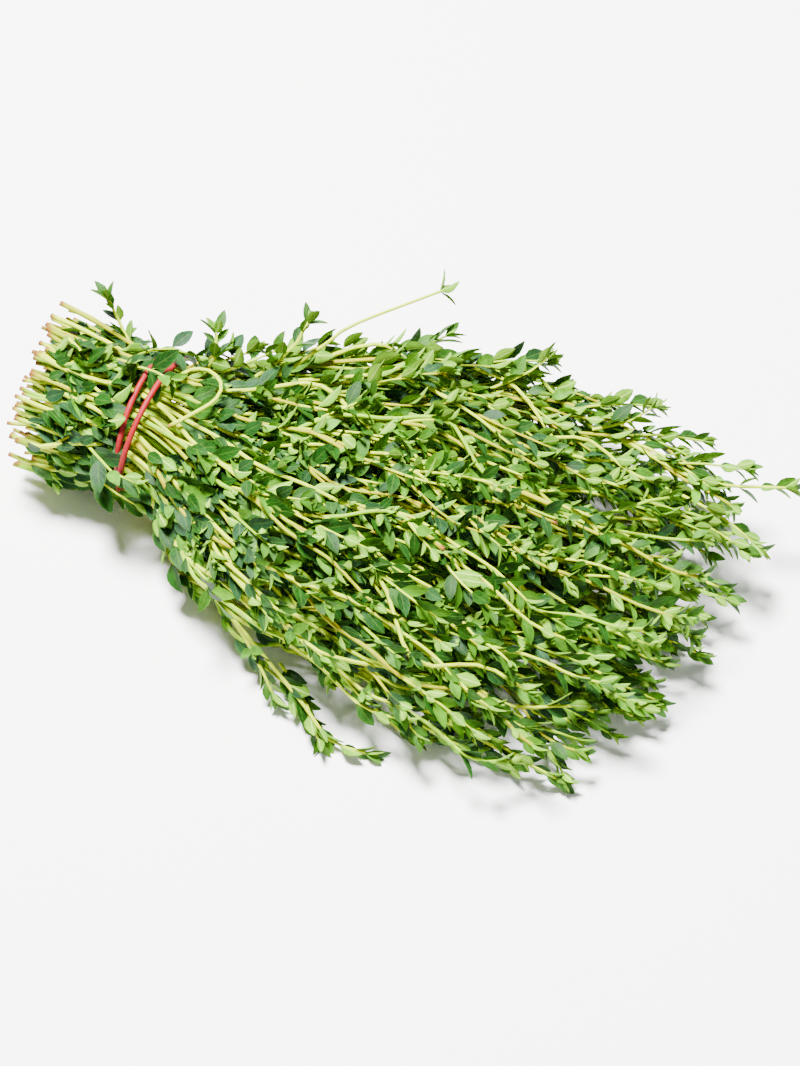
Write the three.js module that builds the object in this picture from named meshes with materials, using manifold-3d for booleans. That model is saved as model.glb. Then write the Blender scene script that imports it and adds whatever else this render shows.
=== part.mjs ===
// A tied bunch of fresh thyme that lies on its side. Its leafy sprigs are pressed together by a
// rubber band wound twice, stand out a little behind it as cut ends, and spread into a fan in
// front of it. Millimetres: X runs along the bunch from the band to the tips, Y across it, and Z
// up from the surface that it lies on.

import * as THREE from "three";
import { mergeVertices } from "three/addons/utils/BufferGeometryUtils.js";
import Module from "manifold-3d";

const wasm = await Module();
wasm.setup();

// Driving dimensions, in millimetres and degrees.

const gap = 0.3; // kept clear between one sprig and the next

const bunch = {
  neckHalfWidth: 18, // to the outermost stems, where the band grips
  neckHalfHeight: 16.5,
  fanWidening: 29, // added to the half width where the fan opens
  fanSpread: 0.05, // half width gained for each millimetre beyond that
  fanReach: 34, // how soon the fan opens
  fanShoulder: 1.6, // above 1 the fan opens late and then all at once
  farLean: 4, // the fan's middle stands this far to its far side
  farLeanAt: 80,
  buttFlare: 0.1, // half width gained for each millimetre behind the band
  tallHalfHeight: 20, // where the fan is tallest
  tallAt: 50,
  tipHalfHeight: 15,
  tipAt: 150,
  sunk: 0.06, // share of the half height by which its own weight flattens it below
  waistLift: 6.8, // the pressed neck clears the surface by this much
  waistReach: 16,
  stemRest: 0.4, // height of a stem's middle where it lies on the surface
  buttAt: -33.5, // cut ends
  buttSlant: 0.12, // they reach further back on the far side
  tipMiddle: 158, // reach of the longest sprigs in the middle of the fan
  tipSlant: 0.1, // the far side of the fan reaches further
  tipRounding: 15, // reach lost at the fan's edges
  fanEdge: 55,
};

// Stems stand in rings round one straight stem. rho is the share of the half width, and twist is
// how far a ring turns over 100 mm, so that neighbouring rings cross at a small angle.
const rings = [
  { name: "outer", count: 20, rho: 1, twist: 12, first: 9, shorter: 44, leafShare: 0.57 },
  { name: "middle", count: 13, rho: 0.68, twist: -16, first: 0, shorter: 36, leafShare: 0.27 },
  { name: "inner", count: 7, rho: 0.36, twist: 18, first: 10, shorter: 26, leafShare: 0.27 },
  { name: "heart", count: 1, rho: 0, twist: 0, first: 0, shorter: 0, leafShare: 0.27 },
];

const stem = {
  butt: 1.9, // across a square woody stem
  tip: 1.1,
  uneven: 4, // how far the cut ends differ
  sway: 0.05, // share of the half width
  swing: 2.6, // degrees round the bunch
  steady: 26, // distance from the band over which the sway grows
};

// Each sprig has one side branch, which keeps to its own sprig's side of the bunch.
const branch = {
  thick: 1.2,
  steps: 3,
  first: 34, // the nearest to the band that one starts
  firstSpread: 34,
  length: 44,
  lengthSpread: 26,
  past: 4, // how far one may outreach its sprig
  out: 0.07, // share of the half width that it moves out
  aside: 5.6, // degrees that it moves round the bunch, on the outermost ring
};

const leaf = {
  pitch: 13.5, // from one pair of leaves to the next
  length: 7.6,
  spread: 0.26, // lengths vary by this share each way
  widthShare: 0.56,
  depth: 1.1, // through the rib
  arch: 0.14, // drop of the tip, as a share of the length
  lean: [42, 74], // degrees out from the stem
  bareButt: 8,
  bareTip: 5,
  bareBranch: 12,
  clearOfBand: 8,
};

// Young leaves stand close together at the tip of every stem and branch.
const young = {
  length: 5,
  widthShare: 0.42,
  lean: [24, 46],
  onStem: 4,
  onBranch: 3,
};

const band = {
  strand: 1.6, // diameter
  clear: 0.5, // from the straight stems inside it
  apart: 2.9, // half the distance between the two turns where they lie furthest apart
  over: 0.98, // half the distance between the two turns where one lies over the other
  overAt: 205, // degrees round the neck, from +Y towards the top
  steps: 40,
  sides: 6,
};

// Outlines between the root and the tip: [share of the length, share of the width].
const leafOutline = [[0.38, 0.5], [0.74, 0.37]];
const youngOutline = [[0.45, 0.5]];

// Shoots that stand out of the bunch. Each grows from the nearest outer sprig, and its route is a
// short list of points that it passes through.
const looseShoots = [
  { name: "bent bare stalk", from: 26, route: [[38, 31, 44], [43, 38, 47], [60, 58, 48]], leaves: 2 },
  { name: "upright tip behind the neck", from: 20, route: [[29, 27, 41], [31, 34, 46]], leaves: 4 },
  { name: "tip at the top of the neck", from: 8, route: [[11, 17, 40], [9.5, 21, 45]], leaves: 3 },
  { name: "thin tip over the cut ends", from: -14, route: [[-20, 19, 37], [-23, 20, 43]], leaves: 3 },
  { name: "low shoot, first", from: 30, route: [[50, -45, 10], [62, -54, 5]], leaves: 5 },
  { name: "low shoot, second", from: 40, route: [[70, -54, 7], [82, -60, 3], [92, -59, 2]], leaves: 5 },
  { name: "curled shoot", from: 62, route: [[88, -47, 6], [101, -50, 3], [113, -46, 2.5]], leaves: 5 },
  { name: "near corner shoot", from: 100, route: [[126, -46, 7], [141, -46, 4]], leaves: 5 },
  { name: "far corner shoot", from: 118, route: [[144, 44, 26], [166, 50, 28]], leaves: 6 },
];

const colours = { thyme: 0x5c8a48, band: 0xc23a3c };

// A repeatable draw from 0 to 1. Each item has its own draw of every kind.
function draw(item, kind) {
  const s = Math.sin(item * 12.9898 + kind * 78.233) * 43758.5453;
  return s - Math.floor(s);
}

function between([low, high], share) {
  return THREE.MathUtils.lerp(low, high, share);
}

function ease(t) {
  const c = THREE.MathUtils.clamp(t, 0, 1);
  return c * c * (3 - 2 * c);
}

// The bunch's outer form: an upright ellipse that changes along X.

function halfWidthAt(x) {
  if (x < 0) return bunch.neckHalfWidth - bunch.buttFlare * x;
  const opened = 1 - Math.exp(-((x / bunch.fanReach) ** bunch.fanShoulder));
  return bunch.neckHalfWidth + bunch.fanWidening * opened + bunch.fanSpread * x;
}

function middleAcrossAt(x) {
  return bunch.farLean * ease(x / bunch.farLeanAt);
}

function halfHeightAt(x) {
  if (x < 0) return bunch.neckHalfHeight - bunch.buttFlare * x;
  const rise = ease(x / bunch.tallAt) * (bunch.tallHalfHeight - bunch.neckHalfHeight);
  const along = (x - bunch.tallAt) / (bunch.tipAt - bunch.tallAt);
  return bunch.neckHalfHeight + rise + ease(along) * (bunch.tipHalfHeight - bunch.tallHalfHeight);
}

function middleHeightAt(x) {
  const lift = bunch.waistLift * Math.exp(-((x / bunch.waistReach) ** 2));
  return halfHeightAt(x) * (1 - bunch.sunk) + bunch.stemRest + lift;
}

function reachAt(y) {
  const edge = Math.abs(y) / bunch.fanEdge;
  return bunch.tipMiddle + bunch.tipSlant * y - bunch.tipRounding * edge ** 3;
}

// The point at x of a line that keeps its seat: a share rho of the half width, at phi round it.
function seat(x, rho, phi, twist) {
  const a = THREE.MathUtils.degToRad(phi + (twist * x) / 100);
  const y = middleAcrossAt(x) + Math.cos(a) * rho * halfWidthAt(x);
  const z = middleHeightAt(x) + Math.sin(a) * rho * halfHeightAt(x);
  return new THREE.Vector3(x, y, Math.max(z, bunch.stemRest));
}

// A stem sways within its own seat, and less where the band holds it.
function stemPoint(sprig, x, aside = { rho: 0, phi: 0 }) {
  const free = ease(Math.abs(x) / stem.steady);
  const wave = (kind, length) => Math.sin((x / length + draw(sprig.item, kind)) * 2 * Math.PI);
  const rho = sprig.rho + free * stem.sway * (wave(1, 74) + 0.35 * wave(2, 31)) + aside.rho;
  const phi = sprig.phi + free * stem.swing * (wave(3, 83) + 0.3 * wave(4, 29)) + aside.phi;
  return seat(x, rho, phi, sprig.twist);
}

// The frame at a distance along a path, which runs straight from station to station.
function frameAt(path, distance) {
  let i = 0;
  let left = distance;
  while (i < path.points.length - 2 && left > path.points[i].distanceTo(path.points[i + 1])) {
    left -= path.points[i].distanceTo(path.points[i + 1]);
    i += 1;
  }
  const along = path.points[i + 1].clone().sub(path.points[i]).normalize();
  const at = path.points[i].clone().addScaledVector(along, left);
  const outward = new THREE.Vector3(0, at.y - middleAcrossAt(at.x), at.z - middleHeightAt(at.x));
  if (outward.length() < 1) outward.set(0, 0, 1);
  outward.addScaledVector(along, -outward.dot(along)).normalize();
  return { at, along, outward, across: along.clone().cross(outward) };
}

function lengthOf(path) {
  return path.points.slice(1).reduce((sum, p, i) => sum + p.distanceTo(path.points[i]), 0);
}

// Solids.

function solidOf(geometry) {
  const bare = geometry.clone();
  bare.deleteAttribute("normal");
  bare.deleteAttribute("uv");
  const merged = mergeVertices(bare, 1e-4);
  const triVerts = new Uint32Array(merged.index.array);
  const vertProperties = new Float32Array(merged.attributes.position.array);
  return new wasm.Manifold(new wasm.Mesh({ numProp: 3, vertProperties, triVerts }));
}

function geometryOf(solid) {
  const mesh = solid.getMesh();
  const geometry = new THREE.BufferGeometry();
  geometry.setAttribute("position", new THREE.BufferAttribute(mesh.vertProperties, 3));
  geometry.setIndex(new THREE.BufferAttribute(mesh.triVerts, 1));
  geometry.computeVertexNormals();
  return geometry;
}

function section(sides, across) {
  const corners = [];
  for (let side = 0; side < sides; side += 1) {
    const a = ((side + 0.5) / sides) * 2 * Math.PI;
    corners.push(new THREE.Vector2(Math.cos(a), Math.sin(a)).multiplyScalar(across / 2));
  }
  return new THREE.Shape(corners);
}

// A stem along a path: a section swept along it and then drawn in towards its thin end.
function stemGeometry(path, sides, thick, thin) {
  const steps = path.points.length - 1;
  const geometry = new THREE.ExtrudeGeometry(section(sides, 1), { steps, extrudePath: path });
  const middles = path.getSpacedPoints(steps);
  const position = geometry.attributes.position;
  const vertex = new THREE.Vector3();
  for (let i = 0; i < position.count; i += 1) {
    vertex.fromBufferAttribute(position, i);
    let nearest = 0;
    middles.forEach((middle, m) => {
      if (middle.distanceTo(vertex) < middles[nearest].distanceTo(vertex)) nearest = m;
    });
    const width = THREE.MathUtils.lerp(thick, thin, nearest / steps);
    vertex.sub(middles[nearest]).multiplyScalar(width).add(middles[nearest]);
    position.setXYZ(i, vertex.x, vertex.y, vertex.z);
  }
  return geometry;
}

// A blade is flat above and keeled below. Its sections are triangles: right edge, left edge, rib.
// Its root is a point that sinks into the stem, and its tip arches down.
function bladeGeometry(outline, length, width, depth) {
  const drop = (along) => -leaf.arch * length * along ** 2;
  const points = [[0, 0, 0]];
  for (const [along, half] of outline) {
    const z = drop(along);
    points.push([along * length, -half * width, z]);
    points.push([along * length, half * width, z]);
    points.push([along * length, 0, z - depth]);
  }
  points.push([length, 0, drop(1)]);
  const tip = points.length - 1;
  const faces = [];
  for (let corner = 0; corner < 3; corner += 1) {
    const next = (corner + 1) % 3;
    faces.push(0, 1 + corner, 1 + next);
    for (let ring = 1; ring < tip - 3; ring += 3) {
      const [a, b] = [ring + corner, ring + next];
      faces.push(a, a + 3, b + 3, a, b + 3, b);
    }
    faces.push(tip - 3 + corner, tip, tip - 3 + next);
  }
  const geometry = new THREE.BufferGeometry();
  geometry.setAttribute("position", new THREE.Float32BufferAttribute(points.flat(), 3));
  geometry.setIndex(faces);
  return geometry;
}

// Where a leaf sits: turned by azimuth round the stem and leaning out from it by lean.
function leafMatrix(frame, azimuth, lean) {
  const a = THREE.MathUtils.degToRad(azimuth);
  const b = THREE.MathUtils.degToRad(lean);
  const away = frame.outward.clone().multiplyScalar(Math.cos(a)).addScaledVector(frame.across, Math.sin(a));
  const along = frame.along.clone().multiplyScalar(Math.cos(b)).addScaledVector(away, Math.sin(b));
  const up = frame.along.clone().multiplyScalar(Math.sin(b)).addScaledVector(away, -Math.cos(b));
  const matrix = new THREE.Matrix4().makeBasis(along, up.clone().cross(along), up);
  return matrix.setPosition(frame.at);
}

function leafAt(frame, azimuth, lean, outline, length, widthShare) {
  const width = length * widthShare;
  const matrix = leafMatrix(frame, azimuth, lean);
  const blade = bladeGeometry(outline, length, width, leaf.depth).applyMatrix4(matrix);
  const roomy = bladeGeometry(outline, length + 2 * gap, width + 4 * gap, leaf.depth + 2 * gap);
  const lifted = roomy.translate(0, 0, gap).applyMatrix4(matrix);
  return { blade: solidOf(blade), roomy: solidOf(lifted) };
}

// The band is one closed loop that goes twice round the neck and passes over itself once. It is
// a torus whose every section is carried to its place on the loop.
function bandPoint(turn) {
  const inset = stem.butt / 2 + band.clear + band.strand / 2 + band.over;
  const round = 2 * turn + THREE.MathUtils.degToRad(band.overAt) - Math.PI;
  const out = inset + band.over * Math.sin(turn);
  const y = Math.cos(round) * (bunch.neckHalfWidth + out);
  const z = middleHeightAt(0) + Math.sin(round) * (bunch.neckHalfHeight + out);
  return new THREE.Vector3(band.apart * Math.cos(turn), y, z);
}

function bandGeometry() {
  const [radius, tube, ahead] = [2, 1, 0.01];
  const torus = new THREE.TorusGeometry(radius, tube, band.sides, band.steps);
  torus.deleteAttribute("normal");
  torus.deleteAttribute("uv");
  const loop = mergeVertices(torus, 1e-4);
  const position = loop.attributes.position;
  for (let i = 0; i < position.count; i += 1) {
    const corner = new THREE.Vector3().fromBufferAttribute(position, i);
    const turn = Math.atan2(corner.y, corner.x);
    const middle = bandPoint(turn);
    const along = bandPoint(turn + ahead).sub(middle).normalize();
    const out = new THREE.Vector3(0, middle.y, middle.z - middleHeightAt(0));
    out.addScaledVector(along, -out.dot(along)).normalize();
    const beside = out.clone().cross(along);
    const outShare = (Math.hypot(corner.x, corner.y) - radius) / tube;
    middle.addScaledVector(out, (outShare * band.strand) / 2);
    middle.addScaledVector(beside, ((corner.z / tube) * band.strand) / 2);
    position.setXYZ(i, middle.x, middle.y, middle.z);
  }
  return loop;
}

// The sprigs.

function layOutSprigs() {
  const sprigs = [];
  for (const ring of rings) {
    for (let i = 0; i < ring.count; i += 1) {
      const item = sprigs.length + 1;
      const phi = ring.first + (i * 360) / ring.count;
      const number = String(i + 1).padStart(2, "0");
      const name = ring.count > 1 ? `sprig_${ring.name}_${number}` : `sprig_${ring.name}`;
      const sprig = { ...ring, name, item, phi };
      const reach = reachAt(seat(bunch.tipAt, ring.rho, phi, ring.twist).y);
      sprig.tip = reach - ring.shorter * draw(item, 5) ** 1.6;
      const slant = bunch.buttSlant * seat(bunch.buttAt, ring.rho, phi, ring.twist).y;
      sprig.butt = bunch.buttAt - slant - stem.uneven * draw(item, 6);
      sprigs.push(sprig);
    }
  }
  return sprigs;
}

// A smooth path that a sweep follows with one step from each of its points to the next.
class StationPath extends THREE.CatmullRomCurve3 {
  getPointAt(u, target) {
    return this.getPoint(u, target);
  }

  getTangentAt(u, target) {
    return this.getTangent(u, target);
  }
}

// Stations close together round the neck and further apart in the fan.
function mainPath(sprig) {
  const stations = [sprig.butt, -10, 0, 6, 14, 25, 40];
  for (let x = 62; x < sprig.tip - 10; x += 24) stations.push(x);
  stations.push(sprig.tip);
  return new StationPath(stations.map((x) => stemPoint(sprig, x)));
}

// The point at x of a sprig's main stem, which runs straight from station to station.
function onMainStem(sprig, x) {
  const points = sprig.path.points;
  const next = points.findIndex((point) => point.x > x);
  const [a, b] = [points[next - 1], points[next]];
  return a.clone().lerp(b, (x - a.x) / (b.x - a.x));
}

function branchPath(sprig) {
  const start = branch.first + branch.firstSpread * draw(sprig.item, 7);
  const reach = start + branch.length + branch.lengthSpread * draw(sprig.item, 8);
  const end = Math.min(reach, sprig.tip + branch.past);
  const side = draw(sprig.item, 9) < 0.5 ? -1 : 1;
  const swing = (side * branch.aside) / Math.max(sprig.rho, 0.4);
  const points = [onMainStem(sprig, start)];
  for (let i = 1; i <= branch.steps; i += 1) {
    const t = i / branch.steps;
    const opened = 1 - (1 - t) ** 2;
    const aside = { rho: branch.out * opened, phi: swing * opened };
    points.push(stemPoint(sprig, THREE.MathUtils.lerp(start, end, t), aside));
  }
  return new StationPath(points);
}

function boxOf(solid) {
  const { min, max } = solid.boundingBox();
  return new THREE.Box3(new THREE.Vector3(...min), new THREE.Vector3(...max));
}

const sprigs = layOutSprigs();
const tie = { name: "tie_band", solid: solidOf(bandGeometry()) };
tie.box = boxOf(tie.solid);

for (const sprig of sprigs) {
  sprig.path = mainPath(sprig);
  sprig.branch = branchPath(sprig);
  sprig.solid = solidOf(stemGeometry(sprig.path, 4, stem.butt, stem.tip));
  sprig.solid = sprig.solid.add(solidOf(stemGeometry(sprig.branch, 3, branch.thick, stem.tip)));
  sprig.shoots = [];
}

for (const shoot of looseShoots) {
  const first = new THREE.Vector3(...shoot.route[0]);
  const outer = sprigs.filter((sprig) => sprig.rho === 1 && sprig.tip > shoot.from);
  const away = (sprig) => onMainStem(sprig, shoot.from).distanceTo(first);
  const host = outer.reduce((best, sprig) => (away(sprig) < away(best) ? sprig : best));
  const route = shoot.route.map((point) => new THREE.Vector3(...point));
  const points = [onMainStem(host, shoot.from), ...route];
  const path = new StationPath(points);
  host.solid = host.solid.add(solidOf(stemGeometry(path, 3, branch.thick, stem.tip)));
  host.shoots.push({ ...shoot, path });
}

for (const sprig of sprigs) sprig.box = boxOf(sprig.solid);

// A leaf grows only where it stays clear of every other sprig and of the band.
function grow(sprig, made) {
  const box = boxOf(made.roomy);
  const crossed = [tie, ...sprigs].some((other) => {
    if (other === sprig || !other.box.intersectsBox(box)) return false;
    return !made.roomy.intersect(other.solid).isEmpty();
  });
  if (crossed) return;
  sprig.solid = sprig.solid.add(made.blade);
  sprig.box.union(box);
}

function tuft(sprig, path, count, kind) {
  const frame = frameAt(path, lengthOf(path) - stem.tip / 2);
  for (let i = 0; i < count; i += 1) {
    const azimuth = (i * 360) / count + 90 * draw(sprig.item, kind);
    const lean = between(young.lean, draw(sprig.item * 7 + i, kind + 1));
    const length = young.length * (0.85 + 0.4 * draw(sprig.item * 5 + i, kind + 2));
    grow(sprig, leafAt(frame, azimuth, lean, youngOutline, length, young.widthShare));
  }
}

// Leaves stand in pairs, each pair at right angles to the last. On the outermost stems those that
// would point into the bunch are left out.
function pairsAlong(sprig, path, from, to, share, kind) {
  const count = Math.floor((to - from) / leaf.pitch);
  for (let k = 0; k < count; k += 1) {
    const frame = frameAt(path, from + (k + 0.5 * draw(sprig.item, kind)) * leaf.pitch);
    if (Math.abs(frame.at.x) < leaf.clearOfBand) continue;
    for (const half of [0, 1]) {
      const item = sprig.item * 40 + k * 2 + half;
      const azimuth = 45 + 90 * k + 180 * half + 50 * (draw(item, kind + 1) - 0.5);
      const inwards = Math.cos(THREE.MathUtils.degToRad(azimuth)) < -0.3;
      if (inwards && sprig.rho === 1) continue;
      if (draw(item, kind + 2) > share) continue;
      const length = leaf.length * (1 + leaf.spread * (2 * draw(item, kind + 3) - 1));
      const lean = between(leaf.lean, draw(item, kind + 4));
      grow(sprig, leafAt(frame, azimuth, lean, leafOutline, length, leaf.widthShare));
    }
  }
}

for (const sprig of sprigs) {
  const [long, short] = [lengthOf(sprig.path), lengthOf(sprig.branch)];
  tuft(sprig, sprig.path, young.onStem, 20);
  tuft(sprig, sprig.branch, young.onBranch, 30);
  pairsAlong(sprig, sprig.path, leaf.bareButt, long - leaf.bareTip, sprig.leafShare, 40);
  pairsAlong(sprig, sprig.branch, leaf.bareBranch, short - leaf.bareTip, sprig.leafShare / 2, 50);
  sprig.shoots.forEach((shoot, i) => {
    const length = lengthOf(shoot.path);
    const leafy = Math.min((shoot.leaves / 2) * leaf.pitch, length - 1);
    tuft(sprig, shoot.path, young.onBranch, 60 + 10 * i);
    pairsAlong(sprig, shoot.path, length - leafy, length, 1, 65 + 10 * i);
  });
}

function largestOf(solid) {
  return solid.decompose().reduce((best, body) => (body.volume() > best.volume() ? body : best));
}

// Every edge joins exactly two faces.
function isClosed(solid) {
  const geometry = geometryOf(solid);
  geometry.deleteAttribute("normal");
  const index = mergeVertices(geometry, 1e-4).index.array;
  const uses = new Map();
  for (let i = 0; i < index.length; i += 3) {
    for (const [from, to] of [[0, 1], [1, 2], [2, 0]]) {
      const edge = [index[i + from], index[i + to]].sort((a, b) => a - b).join();
      uses.set(edge, (uses.get(edge) ?? 0) + 1);
    }
  }
  return [...uses.values()].every((count) => count === 2);
}

// Merges the slivers that the joins left, as far as the body stays closed.
function simplified(solid) {
  const whole = solid.asOriginal();
  const tolerance = [0.07, 0.05, 0.03].find((mm) => isClosed(whole.simplify(mm)));
  return tolerance ? whole.simplify(tolerance) : whole;
}

// Whatever would reach below the surface is pressed flat on it.
const floorDepth = 40;
const floorGeometry = new THREE.BoxGeometry(600, 600, floorDepth).translate(0, 0, -floorDepth / 2);
const floor = solidOf(floorGeometry);
for (const sprig of sprigs) {
  if (sprig.box.min.z < 0) sprig.solid = sprig.solid.subtract(floor);
  sprig.solid = simplified(largestOf(sprig.solid));
}

const thyme = new THREE.Group();
const lying = new THREE.Group();
thyme.add(lying);
for (const piece of [tie, ...sprigs]) {
  const isBand = piece === tie;
  const color = isBand ? colours.band : colours.thyme;
  const material = new THREE.MeshStandardMaterial({ color, roughness: 0.6, metalness: 0 });
  const mesh = new THREE.Mesh(geometryOf(piece.solid), material);
  mesh.name = piece.name;
  lying.add(mesh);
}

// The origin is at the middle of the bunch's box, on the surface.
const box = new THREE.Box3().setFromObject(lying);
const centre = box.getCenter(new THREE.Vector3());
lying.position.set(-centre.x, -centre.y, -box.min.z);

export default thyme;
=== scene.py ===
import math
import bpy
import numpy as np
from mathutils import Matrix, Vector


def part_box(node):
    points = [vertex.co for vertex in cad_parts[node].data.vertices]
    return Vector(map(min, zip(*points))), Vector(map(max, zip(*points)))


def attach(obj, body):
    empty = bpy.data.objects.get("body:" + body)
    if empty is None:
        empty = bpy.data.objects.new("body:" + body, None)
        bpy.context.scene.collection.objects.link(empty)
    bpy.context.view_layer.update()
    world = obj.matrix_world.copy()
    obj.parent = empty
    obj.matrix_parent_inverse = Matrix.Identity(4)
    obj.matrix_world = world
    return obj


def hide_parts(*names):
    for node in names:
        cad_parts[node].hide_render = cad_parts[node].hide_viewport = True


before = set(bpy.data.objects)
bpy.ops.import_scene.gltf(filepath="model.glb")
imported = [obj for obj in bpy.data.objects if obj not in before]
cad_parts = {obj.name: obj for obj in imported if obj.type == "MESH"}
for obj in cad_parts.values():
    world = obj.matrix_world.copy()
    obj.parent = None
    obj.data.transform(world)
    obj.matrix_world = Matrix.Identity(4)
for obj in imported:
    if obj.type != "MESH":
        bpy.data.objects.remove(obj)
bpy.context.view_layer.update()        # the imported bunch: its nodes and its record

# A tied bunch of thyme. The form is laid out in millimetres from the middle of the band, X along
# the bunch, Y across it, Z up from the surface, and is then carried into the frame in metres.

bunchForm = {
    "neckHalfWidth": 18.0,      # to the outermost stems, where the band grips
    "neckHalfHeight": 16.5,
    "fanWidening": 29.0,
    "fanSpread": 0.05,
    "fanReach": 34.0,           # how soon the fan opens
    "fanShoulder": 1.6,
    "farLean": 4.0,             # the fan's middle stands to its far side
    "farLeanAt": 80.0,
    "buttFlare": 0.1,
    "tallHalfHeight": 20.0,
    "tallAt": 50.0,
    "tipHalfHeight": 15.0,
    "tipAt": 150.0,
    "sunk": 0.06,
    "waistLift": 6.8,
    "waistReach": 16.0,
    "stemRest": 0.4,
    "buttAt": -33.5,
    "buttSlant": 0.12,
    "buttUneven": 4.0,
    "tipMiddle": 158.0,
    "tipSlant": 0.1,
    "tipRounding": 15.0,
    "fanEdge": 55.0,
    "sway": 0.05,               # share of the half width by which stems wander
    "swing": 2.6,               # and degrees round the bunch
    "steady": 26.0,             # mm from the band over which they come free of it
    "untidyOver": 35.0,         # mm behind the band over which the thin ones part
    "untidyInward": 0.12,
    "untidySwing": 13.0,
}


def draw(item, kind):                       # a repeatable draw from 0 to 1; kind tells its uses apart
    s = np.sin(item * 12.9898 + kind * 78.233) * 43758.5453
    return s - np.floor(s)


def ease(t):
    c = np.clip(t, 0.0, 1.0)
    return c * c * (3 - 2 * c)


def between(low, high, share):
    return low + (high - low) * share


def pick(ends, item, kind):                 # a repeatable draw between two ends
    return between(*ends, draw(item, kind))


def unit(v):
    return v / np.maximum(np.linalg.norm(v, axis=-1, keepdims=True), 1e-9)


def halfWidthAt(x):
    f = bunchForm
    ahead = np.maximum(x, 0.0)
    opened = 1 - np.exp(-((ahead / f["fanReach"]) ** f["fanShoulder"]))
    fan = f["neckHalfWidth"] + f["fanWidening"] * opened + f["fanSpread"] * ahead
    return np.where(x < 0, f["neckHalfWidth"] - f["buttFlare"] * x, fan)


def middleAcrossAt(x):
    return bunchForm["farLean"] * ease(x / bunchForm["farLeanAt"])


def halfHeightAt(x):
    f = bunchForm
    rise = ease(x / f["tallAt"]) * (f["tallHalfHeight"] - f["neckHalfHeight"])
    along = (x - f["tallAt"]) / (f["tipAt"] - f["tallAt"])
    fan = f["neckHalfHeight"] + rise + ease(along) * (f["tipHalfHeight"] - f["tallHalfHeight"])
    return np.where(x < 0, f["neckHalfHeight"] - f["buttFlare"] * x, fan)


def middleHeightAt(x):
    f = bunchForm
    lift = f["waistLift"] * np.exp(-((x / f["waistReach"]) ** 2))
    return halfHeightAt(x) * (1 - f["sunk"]) + f["stemRest"] + lift


def reachAt(y):                             # how far the sprigs reach at y across the fan
    f = bunchForm
    return f["tipMiddle"] + f["tipSlant"] * y - f["tipRounding"] * (abs(y) / f["fanEdge"]) ** 3


def seatAt(x, rho, phi, twist):             # a share rho of the half width, at phi round it
    x = np.asarray(x, float)
    a = np.radians(phi + twist * x / 100)
    y = middleAcrossAt(x) + np.cos(a) * rho * halfWidthAt(x)
    z = middleHeightAt(x) + np.sin(a) * rho * halfHeightAt(x)
    return np.stack([x, y, np.maximum(z, bunchForm["stemRest"])], -1)


def stemPoints(sprig, x, rhoAside=0.0, phiAside=0.0):       # a stem wanders in slow waves about its seat
    x = np.asarray(x, float)
    free = ease(np.abs(x) / bunchForm["steady"])

    def wave(kind, length):
        return np.sin((x / length + draw(sprig["item"], kind)) * 2 * math.pi)

    sway = bunchForm["sway"] * sprig.get("loose", 1.0)
    swing = bunchForm["swing"] * sprig.get("loose", 1.0)
    behind = np.clip(-x / bunchForm["untidyOver"], 0, 1.3) ** 2 * sprig.get("untidy", 0.0)
    rho = sprig["rho"] + free * sway * (wave(1, 74) + 0.35 * wave(2, 31)) + rhoAside
    rho = rho * (1 - bunchForm["untidyInward"] * behind * draw(sprig["item"], 11))
    phi = sprig["phi"] + free * swing * (wave(3, 83) + 0.3 * wave(4, 29)) + phiAside
    phi = phi + bunchForm["untidySwing"] * behind * (2 * draw(sprig["item"], 12) - 1)
    return seatAt(x, rho, phi, sprig["twist"])


# Where the band is in the frame tells where the bunch's own origin is.
bandPlan = {
    "strand": 1.6,              # diameter, mm
    "clear": 0.5,
    "apart": 2.9,               # half the distance between the turns at the top
    "over": 0.98,               # half the distance where one turn lies over the other
    "overAt": 205.0,            # degrees round the neck
    "uneven": 0.04,             # share of its thickness
    "wavesAlong": 9,
    "steps": 220,
    "sides": 14,
    "packedSteps": 40,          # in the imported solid
    "buttStem": 1.9,
}


def bandPoints(turn):
    inset = bandPlan["buttStem"] / 2 + bandPlan["clear"] + bandPlan["strand"] / 2 + bandPlan["over"]
    around = 2 * turn + math.radians(bandPlan["overAt"]) - math.pi
    out = inset + bandPlan["over"] * np.sin(turn)
    y = np.cos(around) * (bunchForm["neckHalfWidth"] + out)
    z = middleHeightAt(0.0) + np.sin(around) * (bunchForm["neckHalfHeight"] + out)
    return np.stack([bandPlan["apart"] * np.cos(turn), y, z], -1)


bandBox = np.array([list(corner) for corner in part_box("tie_band")]) * 1000
bandLoop = bandPoints(np.linspace(0, 2 * math.pi, bandPlan["packedSteps"], endpoint=False))
ownMiddle = (bandLoop.min(0) + bandLoop.max(0)) / 2
rowOffset = (bandBox[0] + bandBox[1]) / 2 - ownMiddle
rowOffset[2] = 0.0


def toRow(points):
    return (np.asarray(points, float) + rowOffset) / 1000


# The camera looks down on the bunch from its near side, with a long lens.
cameraPlan = {
    "azimuth": 25.0,
    "elevation": 55.0,
    "distance": 900.0,
    "lens": 112.6,
    "sensor": 36.0,
    "looksAt": (75.6, -2.3, 20.0),
}


def makeCamera(plan):
    data = bpy.data.cameras.new("studioCamera")
    data.lens = plan["lens"]
    data.sensor_width = plan["sensor"]
    a, e = math.radians(plan["azimuth"]), math.radians(plan["elevation"])
    right = Vector((math.cos(a), math.sin(a), 0))
    back = Vector((math.sin(a) * math.cos(e), -math.cos(a) * math.cos(e), math.sin(e)))
    up = back.cross(right)
    camera = bpy.data.objects.new("studioCamera", data)
    place = Vector(toRow(plan["looksAt"])) + back * plan["distance"] / 1000
    camera.matrix_world = Matrix.Translation(place) @ Matrix((right, up, back)).transposed().to_4x4()
    bpy.context.scene.collection.objects.link(camera)
    bpy.context.scene.camera = camera


makeCamera(cameraPlan)
print("camera placed")


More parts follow.
